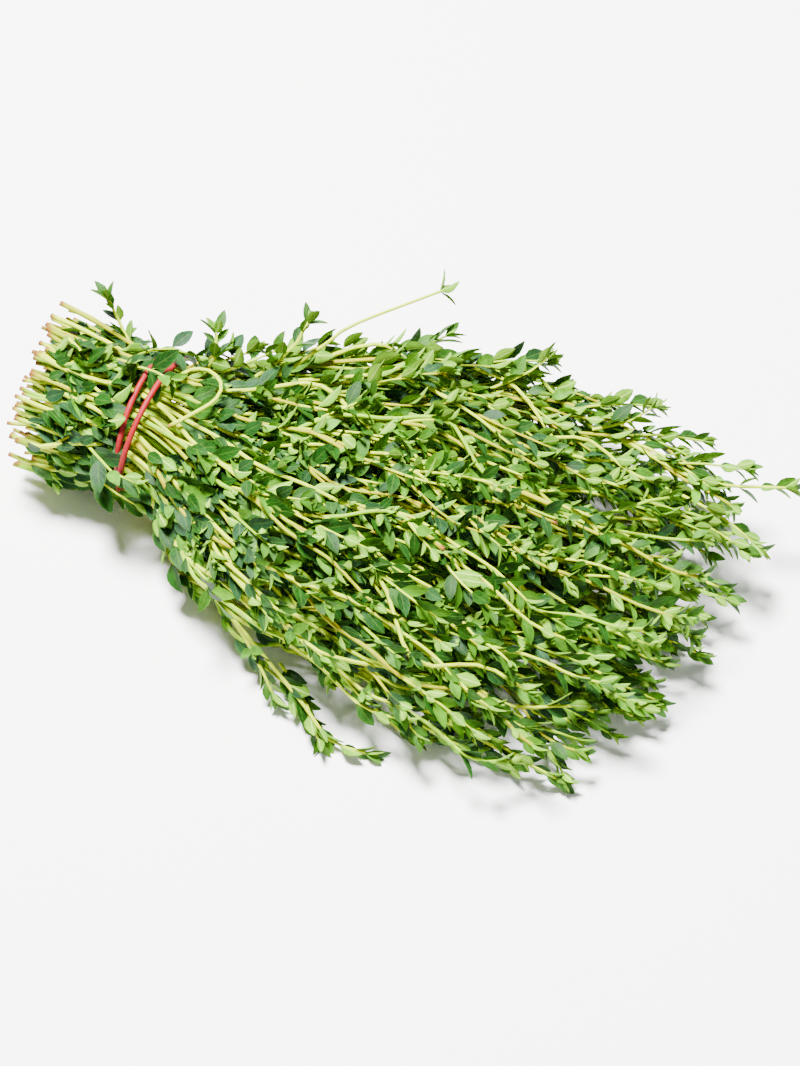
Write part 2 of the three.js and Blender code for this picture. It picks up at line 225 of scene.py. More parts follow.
def hexToLinear(text):
    parts = [int(text[i:i + 2], 16) / 255 for i in (1, 3, 5)]
    return tuple(c / 12.92 if c <= 0.04045 else ((c + 0.055) / 1.055) ** 2.4 for c in parts) + (1.0,)


def addNode(tree, kind, settings, inputs):  # a node among the inputs is linked by its first output
    node = tree.nodes.new("ShaderNode" + kind)
    for name, value in settings.items():
        setattr(node, name, value)
    for name, value in inputs.items():
        if isinstance(value, bpy.types.Node):
            value = next(output for output in value.outputs if output.enabled)
        if isinstance(value, bpy.types.NodeSocket):
            tree.links.new(value, node.inputs[name])
        else:
            node.inputs[name].default_value = value
    return node


def startMaterial(name):
    material = bpy.data.materials.new(name)
    material.use_nodes = True
    material.node_tree.nodes.clear()
    return material, material.node_tree


smooth = {"interpolation_type": "SMOOTHSTEP"}
colours = {"data_type": "RGBA"}
multiply = {"operation": "MULTIPLY"}
multiplyAdd = {"operation": "MULTIPLY_ADD"}

leafFinish = {
    "deep": "#103808",          # upper side of a grown leaf
    "blue": "#18381F",          # some plants of the bunch are bluer
    "light": "#4E8410",         # some leaves are paler
    "young": "#5E980A",         # at the tips
    "under": "#6C981E",         # felted underside
    "rib": "#7A9E38",
    "ribBelow": "#B0C46A",      # stands out from the felt
    "ribShare": 0.12,
    "ribBelowShare": 0.7,
    "veinShare": 0.05,
    "rimShare": 0.06,
    "feltShare": 0.28,
    "rolledShare": 0.5,         # edges roll under
    "patches": (0.66, 1.28),
    "mottleMm": 2.8,
    "veinPairs": 5.0,
    "reliefMm": 0.12,
    "lightDepthMm": 0.5,
    "glandMm": 0.55,            # oil glands are about 0.1 mm, drawn coarser so that they show
    "topRoughness": 0.5,
    "underRoughness": 0.7,
}


def thymeLeafMaterial(look):                # waxy leaf skin: satin above, paler and duller below
    material, tree = startMaterial("thymeLeaf")
    place = addNode(tree, "Attribute", {"attribute_name": "place"}, {})
    growth = addNode(tree, "Attribute", {"attribute_name": "growth"}, {})
    across, along, side = addNode(tree, "SeparateXYZ", {}, {0: place.outputs["Vector"]}).outputs
    tint, age, chance = addNode(tree, "SeparateXYZ", {}, {0: growth.outputs["Vector"]}).outputs
    where = addNode(tree, "TexCoord", {}, {}).outputs["Object"]
    mottle = addNode(tree, "TexNoise", {}, {"Vector": where, "Scale": 1000 / look["mottleMm"], "Detail": 3.0})
    fromRib = addNode(tree, "Math", {"operation": "ABSOLUTE"}, {0: across})
    rib = addNode(tree, "MapRange", smooth, {0: fromRib, 1: 0.03, 2: 0.13, 3: 1.0, 4: 0.0})
    slant = addNode(tree, "Math", multiplyAdd, {0: fromRib, 1: -0.34, 2: along})
    phase = addNode(tree, "Math", multiply, {0: slant, 1: look["veinPairs"] * 2 * math.pi})
    wave = addNode(tree, "Math", {"operation": "SINE"}, {0: phase})
    veins = addNode(tree, "MapRange", smooth, {0: wave, 1: 0.6, 2: 1.0})

    bluer = addNode(tree, "MapRange", smooth, {0: tint, 1: 0.25, 2: 0.8})
    paler = addNode(tree, "MapRange", smooth, {0: chance, 1: 0.66, 2: 1.0, 4: 0.85})
    younger = addNode(tree, "MapRange", smooth, {0: age, 1: 0.15, 2: 1.0})
    top = hexToLinear(look["deep"])
    for share, name in ((bluer, "blue"), (paler, "light"), (younger, "young")):
        top = addNode(tree, "Mix", colours, {0: share, 6: top, 7: hexToLinear(look[name])})
    dark, bright = look["patches"]
    patches = addNode(tree, "MapRange", smooth, {0: mottle, 1: 0.3, 2: 0.7, 3: dark, 4: bright})
    top = addNode(tree, "Mix", {"data_type": "RGBA", "blend_type": "MULTIPLY"}, {0: 1.0, 6: top, 7: patches})
    ribShare = addNode(tree, "Math", multiply, {0: rib, 1: look["ribShare"]})
    veinShare = addNode(tree, "Math", multiply, {0: veins, 1: look["veinShare"]})
    rim = addNode(tree, "MapRange", smooth, {0: fromRib, 1: 0.8, 2: 1.0, 4: look["rimShare"]})
    for share in (ribShare, veinShare, rim):
        top = addNode(tree, "Mix", colours, {0: share, 6: top, 7: hexToLinear(look["rib"])})

    greener = addNode(tree, "MapRange", smooth, {0: chance, 1: 0.1, 2: 0.7, 3: 0.55, 4: 0.0})
    felt = addNode(tree, "MapRange", smooth, {0: mottle, 1: 0.35, 2: 0.7, 4: look["feltShare"]})
    rolled = addNode(tree, "MapRange", smooth, {0: fromRib, 1: 0.55, 2: 1.0, 4: look["rolledShare"]})
    ribBelow = addNode(tree, "Math", multiply, {0: rib, 1: look["ribBelowShare"]})
    under = hexToLinear(look["under"])
    for share, name in ((greener, "light"), (felt, "deep"), (rolled, "deep"), (ribBelow, "ribBelow")):
        under = addNode(tree, "Mix", colours, {0: share, 6: under, 7: hexToLinear(look[name])})
    above = addNode(tree, "MapRange", smooth, {0: side, 1: 0.46, 2: 0.54})
    colour = addNode(tree, "Mix", colours, {0: above, 6: under, 7: top})
    rough = addNode(tree, "MapRange", {}, {0: above, 3: look["underRoughness"], 4: look["topRoughness"]})

    glands = addNode(tree, "TexVoronoi", {}, {"Vector": where, "Scale": 1000 / look["glandMm"]})
    pits = addNode(tree, "MapRange", smooth, {0: glands, 1: 0.1, 2: 0.35})
    relief = addNode(tree, "Math", multiplyAdd, {0: rib, 1: -0.9, 2: pits})
    relief = addNode(tree, "Math", multiplyAdd, {0: veins, 1: -0.5, 2: relief})
    bump = addNode(tree, "Bump", {}, {"Strength": 0.35, "Distance": look["reliefMm"] / 1000,
                                      "Height": relief})
    shader = addNode(tree, "BsdfPrincipled", {}, {
        "Base Color": colour, "Roughness": rough, "Normal": bump, "IOR": 1.4, "Specular IOR Level": 0.14,
        "Subsurface Weight": 0.08, "Subsurface Radius": (0.55, 1.0, 0.25),
        "Subsurface Scale": look["lightDepthMm"] / 1000})
    addNode(tree, "OutputMaterial", {}, {"Surface": shader})
    return material


stemFinish = {
    "pale": "#B4C60A",
    "green": "#7EAA04",
    "straw": "#959000",
    "node": "#7E5A22",          # joints redden
    "woody": "#687006",
    "dried": "#74401C",         # the last millimetres before a cut
    "streakMm": 1.1,
    "streakAlong": 0.14,        # scale along the bunch, so that streaks run along it
    "reliefMm": 0.15,
    "lightDepthMm": 0.6,
    "roughness": 0.5,
}


def thymeStemMaterial(look):                # young woody stem: ribbed, satin, pale between its joints
    material, tree = startMaterial("thymeStem")
    place = addNode(tree, "Attribute", {"attribute_name": "place"}, {})
    growth = addNode(tree, "Attribute", {"attribute_name": "growth"}, {})
    distance, wasCut = addNode(tree, "SeparateXYZ", {}, {0: place.outputs["Vector"]}).outputs[1:]
    tint, joint, wood = addNode(tree, "SeparateXYZ", {}, {0: growth.outputs["Vector"]}).outputs
    where = addNode(tree, "TexCoord", {}, {}).outputs["Object"]
    stretched = addNode(tree, "Mapping", {}, {"Vector": where, "Scale": (look["streakAlong"], 1.0, 1.0)})
    streaks = addNode(tree, "TexNoise", {}, {"Vector": stretched, "Scale": 1000 / look["streakMm"],
                                             "Detail": 3.0})
    greener = addNode(tree, "MapRange", smooth, {0: tint, 1: 0.3, 2: 0.75})
    golden = addNode(tree, "MapRange", smooth, {0: tint, 1: 0.74, 2: 0.92})
    ribs = addNode(tree, "MapRange", smooth, {0: streaks, 1: 0.38, 2: 0.68, 4: 0.4})
    woodier = addNode(tree, "MapRange", smooth, {0: wood, 1: 0.25, 2: 1.0, 4: 0.8})
    redder = addNode(tree, "MapRange", smooth, {0: joint, 1: 0.35, 2: 1.0, 4: 0.3})
    fromCut = addNode(tree, "Math", multiplyAdd, {0: streaks, 1: 0.018, 2: distance})
    nearCut = addNode(tree, "MapRange", smooth, {0: fromCut, 1: 0.008, 2: 0.034, 3: 1.0, 4: 0.0})
    dried = addNode(tree, "Math", multiply, {0: nearCut, 1: wasCut})
    colour = hexToLinear(look["pale"])
    for share, name in ((greener, "green"), (golden, "straw"), (ribs, "green"), (woodier, "woody"),
                        (redder, "node"), (dried, "dried")):
        colour = addNode(tree, "Mix", colours, {0: share, 6: colour, 7: hexToLinear(look[name])})
    bump = addNode(tree, "Bump", {}, {"Strength": 0.4, "Distance": look["reliefMm"] / 1000,
                                      "Height": streaks})
    shader = addNode(tree, "BsdfPrincipled", {}, {
        "Base Color": colour, "Roughness": look["roughness"], "Normal": bump, "IOR": 1.45,
        "Specular IOR Level": 0.1, "Subsurface Weight": 0.1, "Subsurface Radius": (1.0, 0.9, 0.2),
        "Subsurface Scale": look["lightDepthMm"] / 1000})
    addNode(tree, "OutputMaterial", {}, {"Surface": shader})
    return material


cutFinish = {"rim": "#6E4020", "pith": "#C2AC74", "grainMm": 0.5, "reliefMm": 0.1, "roughness": 0.85}


def cutStemMaterial(look):                  # sawn-off pith and bark, dried brown and dull
    material, tree = startMaterial("driedCutStem")
    place = addNode(tree, "Attribute", {"attribute_name": "place"}, {})
    fromPith = addNode(tree, "SeparateXYZ", {}, {0: place.outputs["Vector"]})
    where = addNode(tree, "TexCoord", {}, {}).outputs["Object"]
    grain = addNode(tree, "TexNoise", {}, {"Vector": where, "Scale": 1000 / look["grainMm"], "Detail": 3.0})
    bark = addNode(tree, "MapRange", smooth, {0: fromPith, 1: 0.2, 2: 0.8})
    specks = addNode(tree, "MapRange", smooth, {0: grain, 1: 0.4, 2: 0.7, 4: 0.6})
    colour = hexToLinear(look["pith"])
    for share in (bark, specks):
        colour = addNode(tree, "Mix", colours, {0: share, 6: colour, 7: hexToLinear(look["rim"])})
    bump = addNode(tree, "Bump", {}, {"Strength": 0.5, "Distance": look["reliefMm"] / 1000, "Height": grain})
    shader = addNode(tree, "BsdfPrincipled", {}, {"Base Color": colour, "Roughness": look["roughness"],
                                                  "Normal": bump})
    addNode(tree, "OutputMaterial", {}, {"Surface": shader})
    return material


rubberFinish = {"red": "#7C0610", "worn": "#981A22", "grainMm": 0.9, "reliefMm": 0.1, "roughness": 0.55}


def rubberMaterial(look):                   # vulcanised natural rubber, cut and dusty: dull, paler where worn
    material, tree = startMaterial("vulcanisedRubber")
    where = addNode(tree, "TexCoord", {}, {}).outputs["Object"]
    grain = addNode(tree, "TexNoise", {}, {"Vector": where, "Scale": 1000 / look["grainMm"], "Detail": 4.0})
    dusty = addNode(tree, "MapRange", smooth, {0: grain, 1: 0.45, 2: 0.75, 4: 0.6})
    colour = addNode(tree, "Mix", colours, {0: dusty, 6: hexToLinear(look["red"]),
                                            7: hexToLinear(look["worn"])})
    bump = addNode(tree, "Bump", {}, {"Strength": 0.25, "Distance": look["reliefMm"] / 1000, "Height": grain})
    shader = addNode(tree, "BsdfPrincipled", {}, {
        "Base Color": colour, "Roughness": look["roughness"], "Normal": bump, "IOR": 1.52,
        "Specular IOR Level": 0.25, "Subsurface Weight": 0.08, "Subsurface Scale": 0.0008})
    addNode(tree, "OutputMaterial", {}, {"Surface": shader})
    return material


thymeLeaf = thymeLeafMaterial(leafFinish)
thymeStem = thymeStemMaterial(stemFinish)
driedCut = cutStemMaterial(cutFinish)
rubber = rubberMaterial(rubberFinish)
sprigMaterials = [thymeStem, thymeLeaf, driedCut]
stemSlot, leafSlot, cutSlot = 0, 1, 2
print("materials made")


surfaceRest = 0.6                           # below this height, in mm, things are pressed flat
creaseFrom = 75.0                           # degrees between two faces that meet in an edge


class PieceMesh:                            # gathers triangles, with what the materials read
    def __init__(self):
        self.points, self.faces, self.slots, self.place, self.growth = [], [], [], [], []
        self.count = 0

    def add(self, points, faces, slot, place, growth):
        self.points.append(points)
        self.faces.append(faces + self.count)
        self.slots.append(np.full(len(faces), slot))
        self.place.append(place)
        self.growth.append(growth)
        self.count += len(points)

    def finish(self, name, materials):
        points = liftOffSurface(np.concatenate(self.points))
        faces = np.concatenate(self.faces)
        mesh = bpy.data.meshes.new(name)
        mesh.vertices.add(len(points))
        mesh.vertices.foreach_set("co", toRow(points).ravel())
        mesh.loops.add(faces.size)
        mesh.loops.foreach_set("vertex_index", faces.ravel())
        mesh.polygons.add(len(faces))
        mesh.polygons.foreach_set("loop_start", np.arange(0, faces.size, 3))
        mesh.polygons.foreach_set("material_index", np.concatenate(self.slots))
        mesh.update(calc_edges=True)
        for attribute, values in (("place", self.place), ("growth", self.growth)):
            layer = mesh.attributes.new(attribute, "FLOAT_VECTOR", "POINT")
            layer.data.foreach_set("vector", np.concatenate(values).ravel())
        mesh.shade_smooth()
        mesh.set_sharp_from_angle(angle=math.radians(creaseFrom))
        for material in materials:
            mesh.materials.append(material)
        piece = bpy.data.objects.new(name, mesh)
        bpy.context.scene.collection.objects.link(piece)
        return piece


def liftOffSurface(points):
    low = points[:, 2] < surfaceRest
    points[low, 2] = surfaceRest * np.exp((points[low, 2] - surfaceRest) / surfaceRest)
    return points


def bladeForm(rows):                        # one leaf: a closed thin blade, its rows run to the tip
    across, along, side, faces = [0.0], [0.0], [0.5], []
    for row in rows:
        across += [-1.0, 0.0, 1.0, 0.0]
        along += [row] * 4
        side += [0.5, 1.0, 0.5, 0.0]
    across.append(0.0)
    along.append(1.0)
    side.append(0.5)
    tip = len(across) - 1
    first, last = 1, tip - 4
    for a, b in ((0, 1), (1, 2), (2, 3), (3, 0)):
        faces.append((0, first + a, first + b))
        faces.append((last + a, tip, last + b))
        for row in range(first, last, 4):
            faces.append((row + a, row + a + 4, row + b + 4))
            faces.append((row + a, row + b + 4, row + b))
    return {"across": np.array(across), "along": np.array(along), "side": np.array(side),
            "faces": np.array(faces)}


grownBlade = bladeForm([0.09, 0.18, 0.32, 0.48, 0.64, 0.79, 0.91])
plainBlade = bladeForm([0.15, 0.36, 0.62, 0.86])
bladePlan = {
    "topShown": 0.8,            # share of the blades that show their upper side outward
    "thick": 0.32,
    "groove": 0.05,             # how deep the midrib lies
    "stalk": 0.1,               # share of the length
    "stalkHalf": 0.07,          # half widths, as shares of the width
    "tipHalf": 0.04,
    "roundness": 0.8,
    "pressed": 0.45,            # share of its lean that a leaf keeps under the bunch
    "pressedBelow": -0.6,       # the height of the outward direction
    "freeAbove": 0.8,
    "packedSide": 0.5,          # this much less again at -Y, where the bunch lay against the next one
    "packedFar": 0.4,           # and at +Y
    "skyward": 0.9,             # how far blades turn up to the light as well as outward
}


def outlineAt(along):                       # half width of a thyme leaf, with a short stalk
    stalk = bladePlan["stalk"]
    blade = np.clip((along - stalk) / (1 - stalk), 0, 1)
    oval = np.sin(math.pi * blade ** bladePlan["roundness"]) ** bladePlan["roundness"] / 2
    return np.where(along < stalk, bladePlan["stalkHalf"], np.maximum(oval, bladePlan["tipHalf"]))


def standsOut(outward):                     # what grows upward stands freely, sides and underside lie close
    rise = (outward[2] - bladePlan["pressedBelow"]) / (bladePlan["freeAbove"] - bladePlan["pressedBelow"])
    free = between(bladePlan["pressed"], 1.0, ease(rise))
    packed = bladePlan["packedSide"] * max(-outward[1], 0.0) + bladePlan["packedFar"] * max(outward[1], 0.0)
    return free * (1 - packed)


class LeafList:
    def __init__(self):
        self.rows = []

    # size is length and width, bend is fold, arch and twist, tone is tint, age and chance
    def add(self, here, azimuth, lean, size, bend, tone, start=0.0, facing=0.0, face=0.0):
        n = len(azimuth)
        a, b = np.radians(azimuth), np.radians(np.broadcast_to(lean, n) * standsOut(here["outward"]))
        away = np.cos(a)[:, None] * here["outward"] + np.sin(a)[:, None] * here["across"]
        along = np.cos(b)[:, None] * here["along"] + np.sin(b)[:, None] * away
        up = np.sin(b)[:, None] * here["along"] - np.cos(b)[:, None] * away
        light = here["outward"] + np.array([0, 0, bladePlan["skyward"]])        # blades turn to the light
        wanted = light - (along @ light)[:, None] * along
        much = np.linalg.norm(wanted, axis=1, keepdims=True)
        wanted = np.where(much > 0.2, wanted / np.maximum(much, 1e-6), up)
        wanted = wanted * np.where(np.broadcast_to(face, n) < bladePlan["topShown"], 1.0, -1.0)[:, None]
        level = np.cross(along, up)
        roll = np.arctan2((wanted * level).sum(1), (wanted * up).sum(1)) * facing
        up = np.cos(roll)[:, None] * up + np.sin(roll)[:, None] * level
        side = np.cross(up, along)
        at = here["at"] + away * start
        numbers = [np.broadcast_to(v, n)[:, None] for v in (*size, *bend, *tone)]
        self.rows.append(np.hstack([at, along, side, up] + numbers))

    def fill(self, piece, form):
        if not self.rows:
            return
        rows = np.concatenate(self.rows)
        at, along, side, up = rows[:, 0:3], rows[:, 3:6], rows[:, 6:9], rows[:, 9:12]
        length, width, fold, arch, turn, tint, age, chance = [rows[:, i][:, None] for i in range(12, 20)]
        u, v, s = form["across"][None], form["along"][None], form["side"][None]
        x = v * length
        half = outlineAt(v) * width
        thick = bladePlan["thick"] / 2 * (2 * s - 1)
        y = u * half
        z = fold * np.abs(y) - arch * length * v ** 2 + np.where(u == 0, thick - bladePlan["groove"], 0.0)
        swirl = turn * v
        y, z = y * np.cos(swirl) - z * np.sin(swirl), y * np.sin(swirl) + z * np.cos(swirl)
        points = at[:, None] + x[..., None] * along[:, None] + y[..., None] * side[:, None]
        points = points + z[..., None] * up[:, None]
        n, m = x.shape
        faces = (form["faces"][None] + (np.arange(n) * m)[:, None, None]).reshape(-1, 3)
        place = np.stack(np.broadcast_arrays(u, v, s), -1)
        place = np.broadcast_to(place, (n, m, 3)).reshape(-1, 3)
        growth = np.stack(np.broadcast_arrays(tint, age, chance), -1)
        growth = np.broadcast_to(growth, (n, m, 3)).reshape(-1, 3)
        piece.add(points.reshape(-1, 3), faces, leafSlot, place, growth)


def makeLine(points, distance):             # distance is measured as along the plain stem
    tangent = unit(np.gradient(points, axis=0))
    x = points[:, 0]
    outward = points - np.stack([x, middleAcrossAt(x), middleHeightAt(x)], -1)
    flat = np.linalg.norm(outward, axis=1) < 1
    outward[flat] = (0, 0, 1)
    outward = unit(outward - (outward * tangent).sum(1, keepdims=True) * tangent)
    return {"points": points, "distance": distance, "tangent": tangent, "outward": outward,
            "across": np.cross(tangent, outward)}


def frameOn(line, distance):
    def at(values):
        return np.array([np.interp(distance, line["distance"], values[:, i]) for i in range(3)])

    along = unit(at(line["tangent"]))
    outward = at(line["outward"])
    outward = unit(outward - (outward @ along) * along)
    return {"at": at(line["points"]), "along": along, "outward": outward, "across": np.cross(along, outward)}


def chordDistances(stations):
    steps = np.linalg.norm(np.diff(stations, axis=0), axis=1)
    return np.concatenate([[0.0], np.cumsum(steps)])


stemForm = {
    "cutRings": (1.0, 3.0),     # mm from the cut, where it has dried
    "jointReach": 1.2,
    "jointSwell": 0.16,
    "flat": 0.86,               # share of the radius, between a square stem's corners
    "point": 0.3,
    "spacing": 5.0,
    "sides": 8,
}


def tubePoints(middle, radius, corner, out, beside):
    points = middle[:, None] + (radius * np.cos(corner))[..., None] * out[:, None]
    return points + (radius * np.sin(corner))[..., None] * beside[:, None]


def tubeFaces(rings, sides, closed=False):
    faces = []
    for i in range(rings if closed else rings - 1):
        here, there = i * sides, (i + 1) % rings * sides
        for k in range(sides):
            turned = (k + 1) % sides
            faces += [(here + k, here + turned, there + turned), (here + k, there + turned, there + k)]
    return faces


def addStem(piece, line, thick, thin, joints, tint, wood, cutStart=True, spacing=stemForm["spacing"],
            sides=stemForm["sides"]):
    total = line["distance"][-1]
    spots = np.unique(np.concatenate([np.linspace(0, total, max(int(total / spacing), 3) + 1),
                                      stemForm["cutRings"] if cutStart else [],
                                      [j for j in joints if 1 < j < total - 1]]))
    frames = [frameOn(line, d) for d in spots]
    at = np.array([f["at"] for f in frames])
    outward = np.array([f["outward"] for f in frames])
    across = np.array([f["across"] for f in frames])
    closeness = np.zeros(len(spots))
    if len(joints):
        nearest = np.abs(spots[:, None] - np.asarray(joints)[None]).min(1)
        closeness = np.exp(-(nearest / stemForm["jointReach"]) ** 2)
    radius = between(thick, thin, spots / total) / 2 * (1 + stemForm["jointSwell"] * closeness)
    corner = np.arange(sides) * 2 * math.pi / sides
    square = np.where(np.arange(sides) % 2 == 0, stemForm["flat"], 1.0)
    shape = square if sides == stemForm["sides"] else np.ones(sides)
    points = tubePoints(at, radius[:, None] * shape[None], corner, outward, across)
    tipPoint = len(spots) * sides
    lastRing = tipPoint - sides
    faces = tubeFaces(len(spots), sides)
    faces += [(lastRing + k, lastRing + (k + 1) % sides, tipPoint) for k in range(sides)]
    allPoints = np.concatenate([points.reshape(-1, 3), at[-1:] + stemForm["point"] * frames[-1]["along"]])
    place = np.zeros((len(allPoints), 3))
    place[:-1, 1] = np.repeat(spots / 100, sides)
    place[:, 2] = 1.0 if cutStart else 0.0
    growth = np.zeros((len(allPoints), 3))
    growth[:, 0] = tint
    growth[:-1, 1] = np.repeat(closeness, sides)
    growth[:-1, 2] = np.repeat(np.clip(wood * (1 - spots / total) ** 2, 0, 1), sides)
    piece.add(allPoints, np.array(faces), stemSlot, place, growth)
    capPoints = np.concatenate([points[0], at[:1]])
    capFaces = np.array([(sides, (k + 1) % sides, k) for k in range(sides)])
    capPlace = np.zeros((sides + 1, 3))
    capPlace[:-1, 0] = 1.0
    piece.add(capPoints, capFaces, cutSlot if cutStart else stemSlot, capPlace, np.zeros((sides + 1, 3)))


leafPlan = {
    "pitch": 13.2,
    "length": 7.8,
    "spread": 0.28,
    "towardsTip": (1.14, 0.7),  # leaves get shorter
    "slimmer": (0.92, 0.72),    # and slimmer
    "widthShare": 0.45,
    "widthSpread": 0.26,
    "lean": (27.0, 62.0),
    "turned": 50.0,             # degrees that a pair may be turned out of its cross
    "aside": 22.0,              # degrees that pairs open to the stem's sides
    "fold": (0.1, 0.6),
    "arch": (-0.05, 0.27),
    "turn": (-0.3, 0.3),
    "facing": (0.5, 1.0),       # how far a blade turns to the light
    "start": 0.3,               # mm from the stem's middle
    "tintSpread": 0.3,
    "tipAge": 0.2,
    "bareButt": 8.0,
    "bareTip": 5.0,
    "bareBranch": 7.2,
    "bareTwigTip": 4.0,
    "overBand": 58.0,           # degrees, so that leaves stand over the band
    "overBandFrom": -12.0,
}
youngPlan = {                   # the tuft at a tip
    "length": 5.3,
    "uneven": (0.85, 1.25),
    "widthShare": 0.4,
    "lean": (32.0, 64.0),
    "bend": (0.4, 0.18, 0.0),
    "facing": (0.0, 0.8),
    "age": 0.36,
    "belowTip": 0.5,
    "onStem": 4,
    "onBranch": 3,
}
budPlan = {"leaves": 3, "length": (2.8, 4.4), "widthShare": 0.42, "lean": (12.0, 28.0),
           "bend": (0.5, 0.05, 0.0), "age": 0.85, "turned": 45.0}
youngPairs = [                  # they crowd towards the tip; back is in mm from it
    {"back": 3.0, "length": 5.2, "lean": (39.0, 60.0), "age": 0.4},
    {"back": 7.2, "length": 6.2, "lean": (45.0, 66.0), "age": 0.26},
    {"back": 12.6, "length": 6.9, "lean": (48.0, 69.0), "age": 0.16},
]
youngPairPlan = {"uneven": (0.85, 1.2), "widthShare": 0.48, "bend": (0.3, 0.14, 0.0), "turned": 40.0,
                 "start": 0.3, "facing": (0.2, 1.0), "clearOfStart": 4.0}
axilPlan = {                    # tufts where a leaf joins the stem
    "leaves": 3,
    "length": (3.2, 5.4),
    "towardsTip": (1.25, 0.95),
    "towardsTipOver": 110.0,
    "out": 34.0,                # degrees from the stem
    "stalk": 0.9,               # mm, and longer where the tuft is larger
    "stalkShare": 0.25,
    "uneven": (0.75, 1.25),
    "lean": (26.0, 60.0),
    "widthShare": 0.46,
    "bend": (0.35, 0.12, 0.0),
    "facing": (0.0, 0.9),
    "topShown": 1.0,
    "age": (0.2, 0.6),
}
shootPlan = {
    "first": 9.0,               # mm from the band
    "thick": 0.95,
    "thin": 0.6,
    "sides": 5,
    "neckLeaves": 1.28,         # leaves on shoots near the neck are this much larger
    "neckLeavesOver": 130.0,
    "largeFrom": 1.16,          # and from this much on they have the finer blade
    "shortOfTip": 24.0,
    "crowded": 0.75,            # below 1, they stand closer together towards the tip
    "length": (10.0, 26.0),
    "lean": (16.0, 34.0),
    "neckLean": 0.55,           # share of it near the neck
    "opensFrom": 20.0,
    "opensOver": 90.0,
    "least": 0.38,              # none grow where they would be pressed flatter than this
    "azimuth": (40.0, 105.0),   # to either side of outward
    "bend": 0.3,
    "straightens": 0.42,
    "aboveSurface": 0.7,
    "buttStarts": (4.0, 16.0),  # mm from the cut end
    "buttLength": (7.0, 11.0),
    "grownPairsBack": (15.5, 23.0, 31.0),
    "grownLength": (6.2, 8.6),
    "grownLean": (45.0, 67.0),
    "grownBend": (0.2, 0.12, 0.0),
    "grownStart": 0.2,
    "grownFacing": (0.4, 1.0),
    "grownAge": 0.12,
}
neckPlan = {                    # single leaves on the outer stems, from the cut ends to past the band
    "count": 9,
    "from": 2.5,                # mm along the stem
    "to": 68.0,
    "length": (5.2, 9.2),
    "widthShare": 0.5,
    "lean": (24.0, 58.0),
    "fold": (0.08, 0.43),
    "arch": (0.0, 0.26),
    "turn": (-0.4, 0.4),
    "facing": (0.7, 1.0),
    "start": 0.4,
    "topShown": 0.9,
    "dark": 0.78,
    "azimuth": 84.0,            # to either side of outward
    "clearOfBand": 5.2,
    "bareAlong": (3.0, 14.0),   # the stems show just past the band, on top
    "bareAcross": (-12.0, -2.0),
    "bareAbove": 30.0,
}
branchPlan = {"thick": 1.2, "thin": 0.8, "first": (34.0, 68.0), "length": (44.0, 70.0), "past": 4.0,
              "out": 0.07, "aside": 5.6, "spacing": 6.0, "leafScale": 0.9, "points": 20}
loosePlan = {"thick": 1.3, "thin": 0.9, "tint": 0.2, "leafScale": 0.76, "tuftScale": 1.2}
stationPlan = {"close": (-10, 0, 6, 14, 25, 40), "from": 62.0, "apart": 24.0, "clearOfTip": 10.0,
               "points": 60}


def mainLine(sprig):                        # stations lie close where stems bend in at the band
    stations = [sprig["butt"], *stationPlan["close"]]
    x = stationPlan["from"]
    while x < sprig["tip"] - stationPlan["clearOfTip"]:
        stations.append(x)
        x += stationPlan["apart"]
    stations.append(sprig["tip"])
    stations = np.array(sorted(s for s in stations if s <= sprig["tip"]), float)
    dense = np.linspace(sprig["butt"], sprig["tip"], stationPlan["points"])
    cumulative = chordDistances(stemPoints(sprig, stations))
    return makeLine(stemPoints(sprig, dense), np.interp(dense, stations, cumulative))


def branchLine(sprig, start, end, out, swing):
    dense = np.linspace(start, end, branchPlan["points"])
    t = (dense - start) / (end - start)
    opened = 1 - (1 - t) ** 2
    points = stemPoints(sprig, dense, out * opened, swing * opened)
    return makeLine(points, chordDistances(points))


def smoothRoute(route, perSpan=8):          # a smooth line through given points
    route = np.asarray(route, float)
    ends = np.vstack([2 * route[0] - route[1], route, 2 * route[-1] - route[-2]])
    points = []
    for i in range(len(route) - 1):
        p0, p1, p2, p3 = ends[i:i + 4]
        for t in np.arange(perSpan) / perSpan:
            points.append(0.5 * (2 * p1 + (p2 - p0) * t + (2 * p0 - 5 * p1 + 4 * p2 - p3) * t ** 2
                                 + (3 * p1 - p0 - 3 * p2 + p3) * t ** 3))
    points.append(route[-1])
    points = np.array(points)
    return makeLine(points, chordDistances(points))


def addTuft(leaves, item, line, count, kind, tint, scale=1.0):
    here = frameOn(line, line["distance"][-1] - youngPlan["belowTip"])
    i = np.arange(count)
    azimuth = i * 360 / count + 90 * draw(item, kind)
    lean = pick(youngPlan["lean"], item * 7 + i, kind + 1)
    length = scale * youngPlan["length"] * pick(youngPlan["uneven"], item * 5 + i, kind + 2)
    leaves.add(here, azimuth, lean, (length, length * youngPlan["widthShare"]), youngPlan["bend"],
               (tint, youngPlan["age"], draw(item * 5 + i, kind + 3)),
               facing=pick(youngPlan["facing"], item * 5 + i, kind + 7), face=draw(item * 5 + i, kind + 8))
    inner = np.arange(budPlan["leaves"])    # the bud at the very tip
    azimuth = inner * 360 / budPlan["leaves"] + budPlan["turned"] + azimuth[0]
    length = pick(budPlan["length"], item * 3 + inner, kind + 4)
    lean = pick(budPlan["lean"], item * 3 + inner, kind + 5)
    leaves.add(here, azimuth, lean, (length, length * budPlan["widthShare"]), budPlan["bend"],
               (tint, budPlan["age"], draw(item + inner, kind + 6)))


